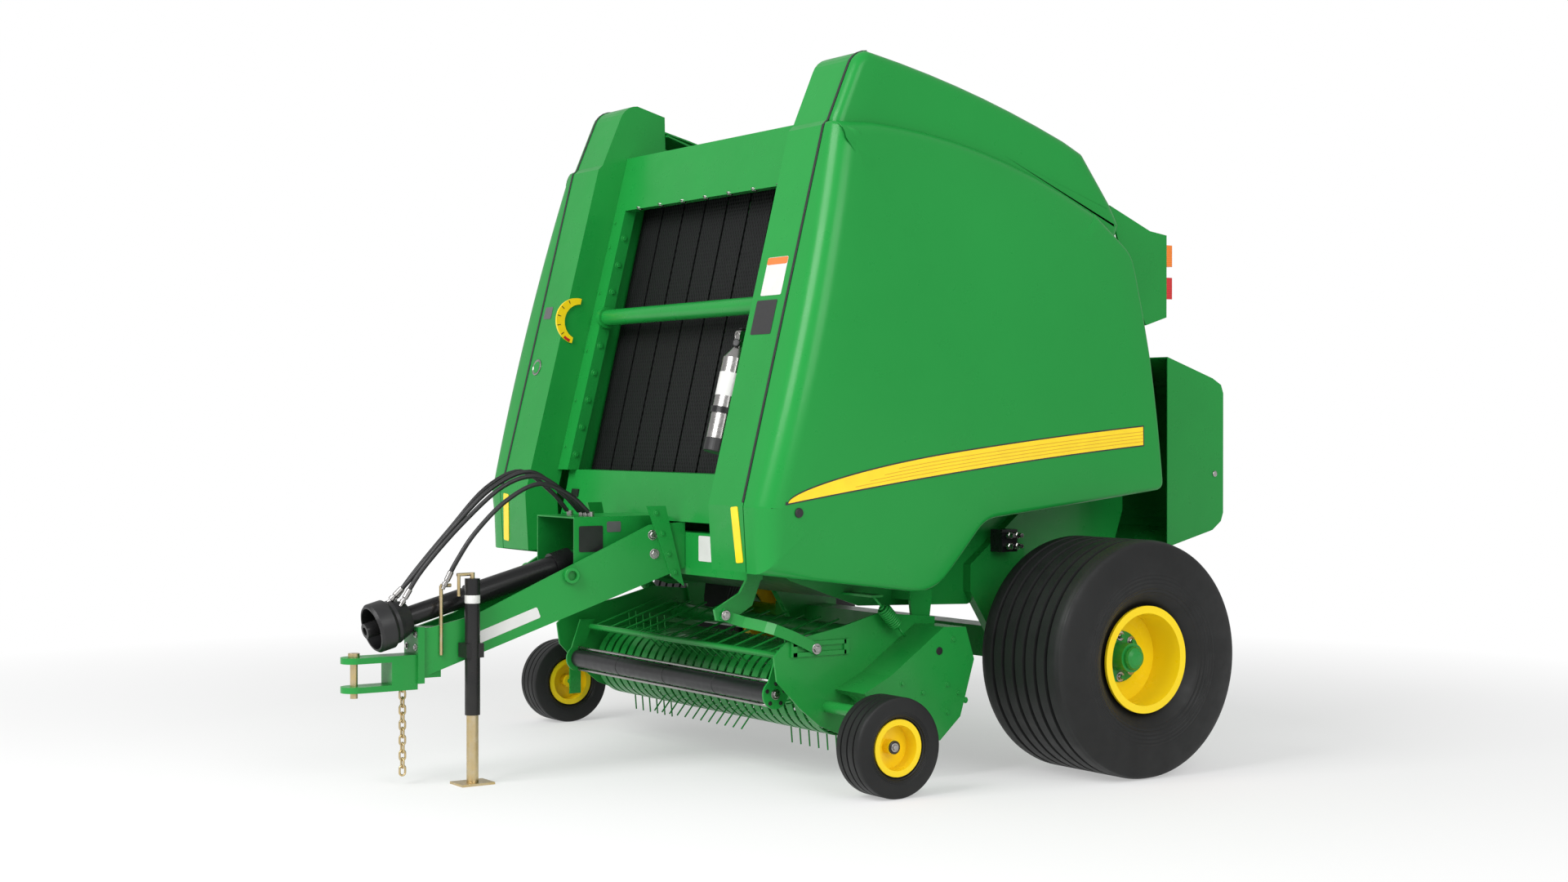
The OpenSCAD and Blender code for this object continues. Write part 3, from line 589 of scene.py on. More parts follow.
HOSES = {
    "hose_a": [(1.860, 0.090, 1.125), (1.940, 0.090, 1.200), (2.080, 0.085, 1.280), (2.240, 0.075, 1.240),
               (2.430, 0.060, 1.080), (2.600, 0.050, 0.900), (2.680, 0.045, 0.780)],
    "hose_b": [(1.860, 0.050, 1.125), (1.950, 0.050, 1.210), (2.100, 0.048, 1.300), (2.280, 0.040, 1.230),
               (2.460, 0.030, 1.060), (2.630, 0.020, 0.870), (2.710, 0.010, 0.790)],
    "hose_c": [(1.860, -0.060, 1.125), (1.940, -0.060, 1.210), (2.090, -0.055, 1.300), (2.260, -0.050, 1.230),
               (2.430, -0.045, 1.060), (2.590, -0.040, 0.890), (2.680, -0.040, 0.780)],
    "hose_d": [(1.860, 0.130, 1.125), (1.950, 0.130, 1.200), (2.100, 0.135, 1.250), (2.260, 0.140, 1.180),
               (2.400, 0.135, 1.050), (2.480, 0.120, 0.930), (2.520, 0.110, 0.850)],
}


def coupling(name, line):
    """Crimp sleeve and quick-coupling tip on a hose's free end."""
    end, way = line[-1], (line[-1] - line[-2]).normalized()
    profile = [(0.0104, 0.0), (0.0125, 0.002), (0.0125, 0.040), (0.0104, 0.044), (0.009, 0.046),
               (0.009, 0.052), (0.013, 0.053), (0.013, 0.066), (0.008, 0.067), (0.008, 0.082)]
    return ring_piece(name, profile, facing(end - way * 0.045, way), 20, "bright_steel", "frame")


def add_hoses():
    for name, points in HOSES.items():
        line = catmull([at(*p) for p in points], 6)
        hose = tube(name + "_rubber", line, HOSE_R, "hose_rubber")
        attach(hose, "frame")
        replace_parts(hose, name)
        coupling(name + "_tip", line)


add_hoses()

# Stripe on the shields, in metres from the axle
STRIPE_REAR = -0.328
STRIPE_TIP = 1.569
STRIPE_SHOULDER = 0.75
STRIPE_H = 0.081
STRIPE_EDGE = 0.006
FILM = 0.0006


def stripe_low(x):
    return 1.3835 - 0.0935 * x - 0.0195 * x * x


def stripe_height(x):
    """Full height at the rear, closing to a point at the tip."""
    past = max(0.0, x - STRIPE_SHOULDER) / (STRIPE_TIP - STRIPE_SHOULDER)
    return STRIPE_H * math.sqrt(max(0.0, 1 - past * past))


def band(bm, side, low, high, x0, x1, lift, columns=96, rows=4):
    """Film on a shield between two edges that are functions of x."""
    grid = []
    for i in range(columns + 1):
        s = i / columns
        x = x0 + (x1 - x0) * (1 - (1 - s) ** 1.6)
        row = []
        for k in range(rows + 1):
            z = low(x) + (high(x) - low(x)) * k / rows
            p = at(x, shield_y(x, z) + lift, z)
            row.append(bm.verts.new((p.x, side * p.y, p.z)))
        grid.append(row)
    for a, b in zip(grid, grid[1:]):
        for k in range(rows):
            bm.faces.new((a[k], b[k], b[k + 1], a[k + 1]))


def add_stripes():
    lines = (0.18, 0.36, 0.54, 0.72)
    for (side, tag), body in zip(SIDES, ("left_door", "right_door")):
        bm = bmesh.new()
        band(bm, side, lambda x: stripe_low(x) - STRIPE_EDGE,
             lambda x: stripe_low(min(x, STRIPE_TIP)) + stripe_height(x) + STRIPE_EDGE,
             STRIPE_REAR - STRIPE_EDGE, STRIPE_TIP + 2 * STRIPE_EDGE, FILM)
        piece("stripe_edge_" + tag, bm, "black_film", body)
        bm = bmesh.new()
        band(bm, side, stripe_low, lambda x: stripe_low(x) + stripe_height(x),
             STRIPE_REAR, STRIPE_TIP, 2 * FILM)
        piece("stripe_" + tag, bm, "yellow_mark", body)
        bm = bmesh.new()
        for share in lines:
            band(bm, side, lambda x: stripe_low(x) + share * stripe_height(x),
                 lambda x: stripe_low(x) + share * stripe_height(x) + 0.0022, STRIPE_REAR,
                 STRIPE_TIP - 0.25 - 0.4 * share, 2.6 * FILM, 64, 1)
        piece("stripe_lines_" + tag, bm, "amber_line", body)


add_stripes()


def add_front_marks():
    """Reflectors and bare plates on the front columns."""
    top, foot = 1.172, 0.944
    mid = 0.5 * (top + foot)
    up = (at(front_x(top), 0, top) - at(front_x(foot), 0, foot)).normalized()
    for side, tag in SIDES:
        lean = Vector((up.x, side * -0.022 / 0.228, up.z))
        across = Vector((0, 1, 0))
        across = (across - lean.normalized() * across.dot(lean.normalized())).normalized()
        where = at(front_x(mid) + 0.0006, side * 1.025, mid)
        plate("reflector_" + tag, where, across, lean, 0.052, top - foot, "yellow_mark", "frame", 0.0024)
    for name, y, z, w, h, finish in (("plate_col_a", 0.950, 2.115, 0.150, 0.165, "white_film"),
                                     ("plate_col_b", 0.934, 1.945, 0.150, 0.147, "black_film"),
                                     ("plate_col_c", -1.000, 2.045, 0.075, 0.060, "grey_film")):
        plate(name, at(front_x(z) + 0.0004, y, z), (0, 1, 0), RISE, w, h, finish, "frame")
    plate("plate_col_band", at(front_x(2.115) + 0.0014, 0.950, 2.115) + RISE * 0.066, (0, 1, 0), RISE,
          0.148, 0.030, "orange_film", "frame")


add_front_marks()


def opening_x(z):
    return FRONT_FOOT - z * math.tan(LEAN) - OPENING_SET


def add_front_bolts():
    opening_top, post_in = 2.535, 0.720
    row = [(at(opening_x(opening_top) - 0.010, y, opening_top) + RISE * 0.004, -RISE)
           for y in (-0.60, -0.40, -0.20, 0.0, 0.20, 0.40, 0.60)]
    bolts("opening_bolts", row, "frame", 0.011)
    inner = []
    for k in range(9):
        z = 1.36 + 0.13 * k
        inner.append((at(opening_x(z) - 0.028, -post_in, z), (0, 1, 0)))
        inner.append((at(opening_x(z) - 0.028, post_in, z), (0, -1, 0)))
    bolts("post_bolts", inner, "frame", 0.010, "green_paint")
    faces = []
    for z in (1.40, 1.62, 1.86, 2.14, 2.36, 2.48):
        for y in (-0.79, 0.79):
            faces.append((at(opening_x(z) + 0.0002, y, z), OUT))
    bolts("frame_bolts", faces, "frame", 0.007, "green_paint")


add_front_bolts()

# Left tongue plate: its rear end, and the angle that it turns in towards the hitch
TONGUE_REAR = (1.470, 0.300)
TONGUE_FRONT_Y = 0.055
TONGUE_TURN = math.atan((TONGUE_REAR[1] - TONGUE_FRONT_Y) / (TONGUE_FRONT - TONGUE_REAR[0]))


def on_tongue(u, z, side=1, out=0.0):
    """A point on a tongue plate's outer face, u along it from the rear."""
    x = TONGUE_REAR[0] + u * math.cos(TONGUE_TURN) + out * math.sin(TONGUE_TURN)
    y = TONGUE_REAR[1] - u * math.sin(TONGUE_TURN) + out * math.cos(TONGUE_TURN)
    return at(x, side * y, z)


def add_tongue_fittings():
    for side, tag in SIDES:
        normal = (math.sin(TONGUE_TURN), side * math.cos(TONGUE_TURN), 0)
        bolts("tongue_bolts_" + tag, [(on_tongue(0.150, 1.024, side), normal),
                                      (on_tongue(0.142, 0.942, side), normal)], "frame", 0.013)
        row = ((0.052, 0.86), (0.080, 0.94), (0.110, 1.03), (0.138, 1.12))
        bolts("flange_bolts_" + tag, [(on_tongue(u, z, side, 0.012), normal) for u, z in row],
              "frame", 0.008, "green_paint")
    along = (on_tongue(0.9, 0.0) - on_tongue(0.4, 0.0)).normalized()
    slope = (along * 0.31 + Vector((0, 0, -0.118))).normalized()
    out = Vector((math.sin(TONGUE_TURN), math.cos(TONGUE_TURN), 0))
    middle = on_tongue(0.80, 0.652)
    plate("plate_tongue", middle, -slope, out.cross(-slope), 0.30, 0.048, "white_film", "frame")
    for name, x, z, w, h, finish in (("plate_hood_a", 1.868, 1.010, 0.118, 0.112, "black_film"),
                                     ("plate_hood_b", 1.755, 1.060, 0.070, 0.046, "grey_film")):
        plate(name, at(x, 0.1705, z), (-1, 0, 0), (0, 0, 1), w, h, finish, "frame")
    plate("plate_cross", at(1.4698, 0.480, 0.968), (0, 1, 0), (0, 0, 1), 0.140, 0.110, "white_film", "frame")
    bolts("clevis_bolts", [(at(HITCH_REACH - 0.310, y, z), (1, 0, 0))
                           for y in (-0.045, 0.045) for z in (0.575, 0.630)], "frame", 0.009)


def add_round_marks():
    """Plain disc on the right column and a latch on the wrap box."""
    z = 1.78
    place = facing(at(front_x(z), -0.990, z), OUT)
    ring_piece("column_disc", [(0.040, 0.0), (0.040, 0.004), (0.034, 0.006), (0.031, 0.003)], place, 40,
               "bright_steel", "frame")
    ring_piece("column_disc_centre", [(0.029, 0.003), (0.029, 0.0045), (0.026, 0.005)], place, 32,
               "green_paint", "frame")
    ring_piece("box_latch", [(0.014, 0.0), (0.014, 0.004), (0.010, 0.006)],
               facing(at(-0.943, 1.100, 1.273), (0, 1, 0)), 20, "bright_steel", "tailgate")


def leaning(a, b, c):
    """A point in the frame of the leaning front: a out from it, c up along it."""
    return at(FRONT_FOOT + a * math.cos(LEAN) - c * math.sin(LEAN), b,
              a * math.sin(LEAN) + c * math.cos(LEAN))


def add_seam_shade_strips():
    """Black strip along the seam between each front column and its shield, up to the crest's top: painted
    shade where the seam's gap lies in shadow.
    """
    path = [(front_x(z), z) for z in (1.190, 1.700, 2.200)] + CREST_FRONT
    for side, tag in SIDES:
        bm = bmesh.new()
        rows = []
        for i, (x, z) in enumerate(path):
            back, on = path[max(0, i - 1)], path[min(i + 1, len(path) - 1)]
            way = Vector((on[0] - back[0], 0, on[1] - back[1])).normalized()
            out = Vector((way.z, 0, -way.x))
            rows.append([bm.verts.new(at(x, side * y, z) + out * lift)
                         for y, lift in ((1.066, 0.0002), (1.0795, 0.0002), (1.0795, 0.003), (1.066, 0.003))])
        skin(bm, rows)
        # The black strip stands for the shade in the seam's gap: painted shade
        piece("seam_shade_strip_" + tag, bm, "black_plastic", "frame")


def add_extinguisher_details():
    """Black foot, bare white label, gauge, levers and safety ring."""
    back, y, low = -0.030, 0.742, 1.440
    base = facing(leaning(back, y, low), RISE)
    ring_piece("extinguisher_foot", [(0.052, -0.003), (0.0565, 0.0), (0.0565, 0.050), (0.0553, 0.053)],
               base, 40, "black_plastic", "frame")
    ring_piece("extinguisher_label", [(0.0552, 0.235), (0.0555, 0.236), (0.0555, 0.334), (0.0552, 0.335)],
               base, 48, "white_film", "frame", smooth=True)
    dial = facing(leaning(back + 0.012, y + 0.005, low + 0.466), (math.cos(LEAN), 0.5, math.sin(LEAN)))
    ring_piece("extinguisher_gauge", [(0.015, 0.0), (0.017, 0.004), (0.017, 0.014), (0.013, 0.016)],
               dial, 24, "black_plastic", "frame")
    bm = bmesh.new()
    for lift, reach in ((0.5205, 0.070), (0.530, 0.085)):
        rows = []
        for k in range(7):
            share = k / 6
            mid = leaning(back + 0.010 - reach * share, y, low + lift + 0.022 * share * share)
            rows.append([bm.verts.new(mid + Vector((0, w, 0)) + RISE * h)
                         for w, h in ((-0.012, 0.0), (0.012, 0.0), (0.012, 0.004), (-0.012, 0.004))])
        skin(bm, rows)
    piece("extinguisher_levers", bm, "black_steel", "frame")
    centre = leaning(back + 0.0195, y, low + 0.500)
    ring = [centre + Vector((0, 0.017 * math.cos(a), 0.017 * math.sin(a)))
            for a in (k * math.tau / 24 for k in range(25))]
    pin = tube("extinguisher_ring", ring, 0.0016, "bright_steel")
    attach(pin, "frame")


def add_gauge_ticks():
    """Black ticks and a red end on the bale gauge."""
    back, y, up = -0.060, -0.8067, 2.080
    bm = bmesh.new()
    for degrees in (-52, -26, 0, 26, 52):
        a = math.radians(degrees)
        ray = leaning(math.cos(a), 0, math.sin(a)) - leaning(0, 0, 0)
        where = leaning(back + 0.098 * math.cos(a), y, up + 0.098 * math.sin(a))
        add_plate(bm, where, ray.cross(Vector((0, 1, 0))), ray, 0.0035, 0.018, 0.001, 0.001)
    piece("gauge_ticks", bm, "black_film", "frame")
    bm = bmesh.new()
    steps = 6
    inner, outer = [], []
    for k in range(steps + 1):
        a = math.radians(-82 + 20 * k / steps)
        for r, row in ((0.096, inner), (0.1095, outer)):
            row.append(bm.verts.new(leaning(back + r * math.cos(a), y + 0.0006, up + r * math.sin(a))))
    for k in range(steps):
        bm.faces.new((inner[k], outer[k], outer[k + 1], inner[k + 1]))
    piece("gauge_red_end", bm, "red_film", "frame")


def helix(a, b, radius, turns, hook=0.05):
    """Points of a coil spring from a to b, with straight tails at both ends."""
    way = (b - a).normalized()
    side = way.cross(Vector((0, 1, 0))).normalized()
    third = way.cross(side)
    length = (b - a).length
    pts = [a.copy()]
    count = turns * 16
    for k in range(count + 1):
        t = k / count
        ease = min(1.0, 6 * t, 6 * (1 - t))
        turn = t * turns * math.tau
        pts.append(a + way * (hook + (length - 2 * hook) * t)
                   + (side * math.cos(turn) + third * math.sin(turn)) * radius * ease)
    pts.append(b.copy())
    return pts


def mesh_tube(name, points, radius, finish, body, sides=8):
    """Round tube along points, as a mesh."""
    bm = bmesh.new()
    loops = []
    for i, p in enumerate(points):
        way = (points[min(i + 1, len(points) - 1)] - points[max(0, i - 1)]).normalized()
        u = way.cross(Vector((0.31, 0.9, 0.3))).normalized()
        v = way.cross(u)
        turns = [k * math.tau / sides for k in range(sides)]
        loops.append([bm.verts.new(p + (u * math.cos(a) + v * math.sin(a)) * radius) for a in turns])
    skin(bm, loops)
    return piece(name, bm, finish, body, smooth=True, sharp=math.pi)


def add_prism(bm, outline, y0, y1):
    """Side profile in x, z from the axle, extruded between two y values."""
    near = [bm.verts.new(at(x, y0, z)) for x, z in outline]
    far = [bm.verts.new(at(x, y1, z)) for x, z in outline]
    wall(bm, near, far)
    bm.faces.new(near)
    bm.faces.new(far[::-1])


def add_side_prism(bm, outline, side, inner, outer):
    y0, y1 = sorted((side * inner, side * outer))
    add_prism(bm, outline, y0, y1)


def add_front_shells():
    """Front columns that run on into their crests, and the beam's ends beside them."""
    column = [(front_x(COLUMN_FOOT), COLUMN_FOOT), (front_x(KINK_Z), KINK_Z)] + CREST_FRONT
    column += [(0.905, 3.018), (0.900, STEP_Z), (front_x(STEP_Z) - COLUMN_DEPTH, STEP_Z),
               (front_x(KINK_Z) - COLUMN_DEPTH, KINK_Z), (front_x(COLUMN_FOOT) - COLUMN_DEPTH, COLUMN_FOOT)]
    beam_top = 2.800
    ends = [(opening_x(STEP_Z), STEP_Z), (opening_x(beam_top), beam_top),
            (opening_x(beam_top) - 0.130, beam_top), (opening_x(beam_top) - 0.130, STEP_Z)]
    bm = bmesh.new()
    for side in (1, -1):
        for outline, inner, outer in ((column, COLUMN_IN, COLUMN_OUT), (ends, 0.7244, COLUMN_IN - 0.0003)):
            add_side_prism(bm, outline, side, inner, outer)
    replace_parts(piece("front_column_shells", bm, "green_paint", "frame"), "front_columns")


def filleted(corners, steps=6):
    """Outline of (x, z) with rounded corners; each corner is (x, z, radius)."""
    outline = []
    for i, (x, z, r) in enumerate(corners):
        p = Vector((x, z))
        back = Vector(corners[i - 1][:2]) - p
        on = Vector(corners[(i + 1) % len(corners)][:2]) - p
        d = min(r / math.tan(back.angle(on) / 2), 0.45 * back.length, 0.45 * on.length)
        a, b = p + back.normalized() * d, p + on.normalized() * d
        for k in range(steps + 1 if r else 1):
            t = k / steps if r else 0.5
            outline.append(a * (1 - t) ** 2 + p * (2 * t * (1 - t)) + b * t * t)
    return outline


def closer(outline, step):
    """Closed outline with its points no further apart than step."""
    points = []
    for a, b in zip(outline, outline[1:] + outline[:1]):
        count = max(1, math.ceil((b - a).length / step))
        points += [a.lerp(b, k / count) for k in range(count)]
    return points


def add_moulding(bm, outline, face_y, rounding, side, thick=0.008):
    """Hollow cover with its wall along an anticlockwise outline, a rounded edge and a face at face_y."""
    count = len(outline)
    inward = []
    for i in range(count):
        a, b = outline[i] - outline[i - 1], outline[(i + 1) % count] - outline[i]
        m, n = Vector((-a.y, a.x)).normalized(), Vector((-b.y, b.x)).normalized()
        inward.append((m + n) / (1 + m.dot(n)))
    raw = [rounding(p) for p in outline]
    spread = range(-3, 4)
    radii = [sum(raw[(i + k) % count] for k in spread) / len(spread) for i in range(count)]
    middle = sum(outline, Vector((0, 0))) / count
    feet = []
    for depth in (0.0, thick):
        rings = [[(p + n * depth, SHIELD_IN) for p, n in zip(outline, inward)]]
        for degrees in (0, 18, 36, 54, 72, 90):
            c, d = 1 - math.cos(math.radians(degrees)), 1 - math.sin(math.radians(degrees))
            ring = []
            for p, n, r in zip(outline, inward, radii):
                q = p + n * (depth + (r - depth) * c)
                ring.append((q, face_y(q.x, q.y) - depth - (r - depth) * d))
            rings.append(ring)
        edge = [q for q, y in rings[-1]]
        for share in (0.88, 0.74, 0.58, 0.42, 0.26, 0.10):
            ring = [middle.lerp(q, share) for q in edge]
            rings.append([(q, face_y(q.x, q.y) - depth) for q in ring])
        rows = [[bm.verts.new(at(q.x, side * y, q.y)) for q, y in ring] for ring in rings]
        tip = bm.verts.new(at(middle.x, side * (face_y(middle.x, middle.y) - depth), middle.y))
        for low, high in zip(rows, rows[1:]):
            wall(bm, low, high)
        for k in range(count):
            bm.faces.new((rows[-1][k], rows[-1][(k + 1) % count], tip))
        feet.append(rows[0])
    wall(bm, *feet)


def arc_z(x, centre, radius):
    """Height of an arched top edge at x."""
    return centre[1] + math.sqrt(radius ** 2 - (x - centre[0]) ** 2)


def add_shields():
    """Barrelled side shields with arched crests, and their front latches."""
    step_arc, crest_arc = ((1.138, -0.026), 2.783), ((2.040, -2.568), 5.706)
    low = COLUMN_FOOT - 0.004
    corners = [(front_x(low), low, 0), (front_x(KINK_Z), KINK_Z, 0.05)]
    corners += [(front_x(2.750), 2.750, 0.02)]
    corners += [(x, arc_z(x, *step_arc), 0) for x in (1.10, 0.95, 0.80, 0.65, 0.50, 0.35, 0.20, 0.05)]
    corners += [(-0.13, arc_z(-0.13, *step_arc), 0.05), (-0.335, 2.262, 0.15), (-0.400, 1.800, 0.8)]
    corners += [(-0.462, 1.212, 0.045), (0.558, 1.101, 0.15), (0.809, 0.795, 0.2)]
    lower = closer(filleted(corners), 0.06)
    crest = [(front_x(STEP_Z) - 0.037, STEP_Z - 0.098, 0)] + [(x, z, 0) for x, z in CREST_FRONT[1:-1]]
    crest += [(x, arc_z(x, *crest_arc), 0) for x in (1.045, 0.90, 0.75, 0.60, 0.45, 0.30, 0.15, 0.0)]
    crest += [(-0.105, 2.712, 0.05), (-0.272, 2.497, 0.03), (-0.330, 2.400, 0.03), (-0.280, 2.290, 0)]
    crest += [(0.400, 2.520, 0)]
    upper = closer(filleted(crest), 0.06)

    def lower_round(p):
        if p.x > front_x(p.y) - 0.02:
            return 0.095
        return 0.055 if p.y > 2.42 else 0.022

    for (side, tag), door in zip(SIDES, ("left", "right")):
        bm = bmesh.new()
        add_moulding(bm, lower, shield_y, lower_round, side)
        add_moulding(bm, upper, lambda x, z: CREST_Y, lambda p: 0.045, side)
        cover = piece(door + "_shield_moulding", bm, "green_shell", door + "_door", smooth=True)
        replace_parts(cover, door + "_shield")
        place = facing(at(LATCH[0], side * shield_y(*LATCH), LATCH[1]), (0, side, 0))
        knob = ring_piece("shield_latch_knob_" + tag,
                          [(0.018, 0.0005), (0.020, 0.003), (0.019, 0.006), (0.012, 0.0075)], place, 32,
                          "black_plastic", door + "_door")
        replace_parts(knob, "shield_latch_" + tag)


def add_tongue_arms():
    """Tapering tongue arms, their floor plate, front block, rear flanges and bosses."""
    length = (TONGUE_FRONT - TONGUE_REAR[0]) / math.cos(TONGUE_TURN)
    arm = [(0.002, 0.880), (length - 0.006, 0.452), (length - 0.006, 0.650), (length - 0.215, 0.700),
           (0.164, 1.068), (0.002, 1.078)]
    flange = [(0.010, 0.800), (0.070, 0.845), (0.180, 1.150), (0.095, 1.150)]
    bm = bmesh.new()
    for side in (1, -1):
        for outline, low, high in ((arm, -0.012, 0.0), (flange, -0.001, 0.012)):
            near = [bm.verts.new(on_tongue(u, z, side, low)) for u, z in outline]
            far = [bm.verts.new(on_tongue(u, z, side, high)) for u, z in outline]
            skin(bm, [near, far])
        way = Vector((math.sin(TONGUE_TURN), side * math.cos(TONGUE_TURN), 0))
        add_ring(bm, [(0.034, -0.010), (0.034, 0.024), (0.031, 0.026), (0.021, 0.026), (0.020, 0.004)],
                 facing(on_tongue(0.518, 0.858, side), way), 32)
    front = TONGUE_FRONT
    rear_row = [bm.verts.new(at(1.472, y, z))
                for y, z in ((-0.290, 0.884), (0.290, 0.884), (0.290, 0.892), (-0.290, 0.892))]
    tip_row = [bm.verts.new(at(front - 0.03, y, z))
               for y, z in ((-0.050, 0.468), (0.050, 0.468), (0.050, 0.476), (-0.050, 0.476))]
    skin(bm, [rear_row, tip_row])
    block = [(front - 0.08, 0.446), (front, 0.446), (front, 0.655), (front - 0.08, 0.655)]
    add_prism(bm, block, -0.0545, 0.0545)
    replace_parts(piece("tongue_arms", bm, "green_paint", "frame"), "tongue")


def add_strap(bm, points, width, thick):
    """Flat bar on edge along points from the axle, bent where they shift in y."""
    rows = []
    for i, p in enumerate(points):
        back, on = points[max(0, i - 1)], points[min(i + 1, len(points) - 1)]
        way = Vector((on[0] - back[0], 0, on[2] - back[2])).normalized()
        rise = Vector((-way.z, 0, way.x)) * width / 2
        wide = Vector((0, thick / 2, 0))
        middle = at(*p)
        rows.append([bm.verts.new(middle + c) for c in (rise + wide, rise - wide, -rise - wide, wide - rise)])
    skin(bm, rows)


def add_lift_linkage():
    """Springs that carry the pickup, their hangers, and the slotted stop link."""
    route = [(1.592, 0.790, 0.718), (1.545, 0.790, 0.697), (1.505, 0.815, 0.682), (1.468, 0.925, 0.668),
             (1.445, 0.962, 0.658), (1.360, 0.967, 0.625), (1.290, 0.967, 0.592), (1.225, 0.967, 0.560)]
    for side, tag in SIDES:
        top = at(0.962, side * 1.000, 0.772)
        foot = at(0.800, side * 1.000, 0.600)
        spring = mesh_tube("lift_spring_" + tag, helix(top, foot, 0.026, 13), 0.0055, "green_paint", None)
        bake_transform(spring)
        prism_piece("spring_hanger_" + tag, [(0.925, 0.772), (0.985, 0.772), (0.985, 0.782), (0.925, 0.782)],
                    side, 0.8002, 1.012, "green_paint", "frame")
        if side < 0:
            ring_piece("spring_stud_r", [(0.008, 0.0), (0.008, 0.052), (0.012, 0.053), (0.012, 0.060)],
                       facing(at(0.800, -0.9502, 0.600), (0, -1, 0)), 16, "bright_steel", "pickup")
        bm = bmesh.new()
        path = [(x, side * y, z) for x, y, z in route]
        add_strap(bm, path, 0.046, 0.009)
        arm = piece("stop_link_" + tag, bm, "green_paint", None)
        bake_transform(arm)
        bm = bmesh.new()
        for x0, x1, z0, z1 in ((1.08, 1.35, 0.537, 0.555), (1.08, 1.35, 0.581, 0.599),
                               (1.065, 1.090, 0.536, 0.600), (1.330, 1.360, 0.536, 0.600)):
            add_side_prism(bm, [(x0, z0), (x1, z0), (x1, z1), (x0, z1)], side, 0.9504, 0.9610)
        piece("stop_slot_" + tag, bm, "green_paint", "pickup")
        bracket = [(1.396, 0.852), (1.440, 0.745), (1.555, 0.680), (1.615, 0.690), (1.625, 0.735),
                   (1.500, 0.800), (1.468, 0.852)]
        prism_piece("link_bracket_" + tag, bracket, side, 0.7700, 0.7855, "green_paint", "frame")
        bolts("link_bolts_" + tag, [(at(1.576, side * 0.7945, 0.711), (0, side, 0))], "frame", 0.013)
        bolts("slot_bolt_" + tag, [(at(1.240, side * 0.9716, 0.567), (0, side, 0))], "pickup", 0.014)


def add_pickup_fittings():
    """Bright strips along the windguard roller, its rings, and the bolts of the end plates."""
    guard_x, guard_z, guard_half = 1.372, 0.375, 0.845
    for tag, dz in (("low", -0.052), ("top", 0.052)):
        line = [at(guard_x, -guard_half + 2 * guard_half * k / 12, guard_z + dz) for k in range(13)]
        mesh_tube("guard_strip_" + tag, line, 0.0072, "bright_steel", "pickup", 12)
    bm = bmesh.new()
    for y in (-0.42, 0.0, 0.42):
        add_ring(bm, [(0.0415, -0.003), (0.0432, -0.002), (0.0432, 0.002), (0.0415, 0.003)],
                 facing(at(guard_x, y, guard_z), (0, 1, 0)), 40)
    piece("guard_rings", bm, "black_plastic", "guard")
    places, small = [], []
    for side in (1, -1):
        y = side * (guard_half + 0.0162)
        places.append((at(guard_x, y, guard_z), (0, side, 0)))
        for k in range(5):
            a = math.radians(72 * k + 20)
            small.append((at(guard_x + 0.045 * math.cos(a), y, guard_z + 0.045 * math.sin(a)), (0, side, 0)))
    bolts("guard_bolts", places, "pickup", 0.013)
    bolts("guard_plate_bolts", small, "pickup", 0.0055, "black_steel")
    cover_y = 1.1532
    cover = [(at(x, cover_y, z), (0, 1, 0))
             for x, z in ((0.822, 0.375), (0.690, 0.400), (0.633, 0.362), (0.593, 0.327), (0.690, 0.282),
                          (0.660, 0.590), (0.930, 0.420), (0.880, 0.300))]
    bolts("drive_cover_bolts", cover, "pickup", 0.008, "green_paint")
    ring_piece("drive_cover_plug", [(0.017, 0.0), (0.017, 0.0012), (0.012, 0.0014)],
               facing(at(0.734, cover_y, 0.545), (0, 1, 0)), 28, "black_plastic", "pickup")


def add_wheel_fittings():
    """Lug nuts, hub caps and the gauge wheels' caps, nuts and arm bolts."""
    for side, tag in SIDES:
        out = (0, side, 0)
        main, gauge = "wheel_" + tag, "gauge_" + tag
        turns = [math.radians(45 * k) for k in range(8)]
        nuts = [(at(0.088 * math.cos(a), side * 1.4745, MAIN_R + 0.088 * math.sin(a)), out) for a in turns]
        bolts("lug_nuts_" + tag, nuts, main, 0.013)
        cap = [(0.050, -0.004), (0.050, 0.012), (0.045, 0.022), (0.030, 0.030), (0.010, 0.033)]
        ring_piece("hub_cap_" + tag, cap, facing(at(0, side * 1.550, MAIN_R), out), 36, "green_paint", main)
        cap = [(0.027, -0.002), (0.027, 0.006), (0.022, 0.009), (0.018, 0.006)]
        ring_piece("gauge_cap_" + tag, cap, facing(at(GAUGE_X, side * 1.413, GAUGE_R), out), 32,
                   "black_plastic", gauge)
        bolts("gauge_nut_" + tag, [(at(GAUGE_X, side * 1.4195, GAUGE_R), out)], gauge, 0.011)
        bolts("arm_bolt_" + tag, [(at(GAUGE_X, side * 1.2622, 0.320), out)], "pickup", 0.013)


def add_valve_block():
    """Oil valve with plated unions inside the left wheel arch."""
    prism_piece("valve_block", [(0.115, 0.935), (0.205, 0.935), (0.205, 1.035), (0.115, 1.035)], 1,
                0.8505, 0.930, "black_steel", "frame")
    bm = bmesh.new()
    for x, z in ((0.138, 0.962), (0.182, 0.962), (0.138, 1.010), (0.182, 1.010)):
        place = facing(at(x, 0.929, z), (0, 1, 0))
        add_ring(bm, [(0.013, 0.0), (0.013, 0.018), (0.016, 0.019), (0.016, 0.034),
                      (0.011, 0.036), (0.011, 0.060)], place, 6)
    piece("valve_unions", bm, "bright_steel", "frame")


def add_jack_band():
    """Bare pale band round the jack's tube."""
    jack_y = TONGUE_REAR[1] - (JACK_X - TONGUE_REAR[0]) * math.tan(TONGUE_TURN) + 0.054
    ring_piece("jack_band", [(0.0321, 0.757), (0.0325, 0.758), (0.0325, 0.790), (0.0321, 0.791)],
               Matrix.Translation(at(JACK_X, jack_y, 0.0)), 40, "white_film", "frame",
               smooth=True, closed=True)


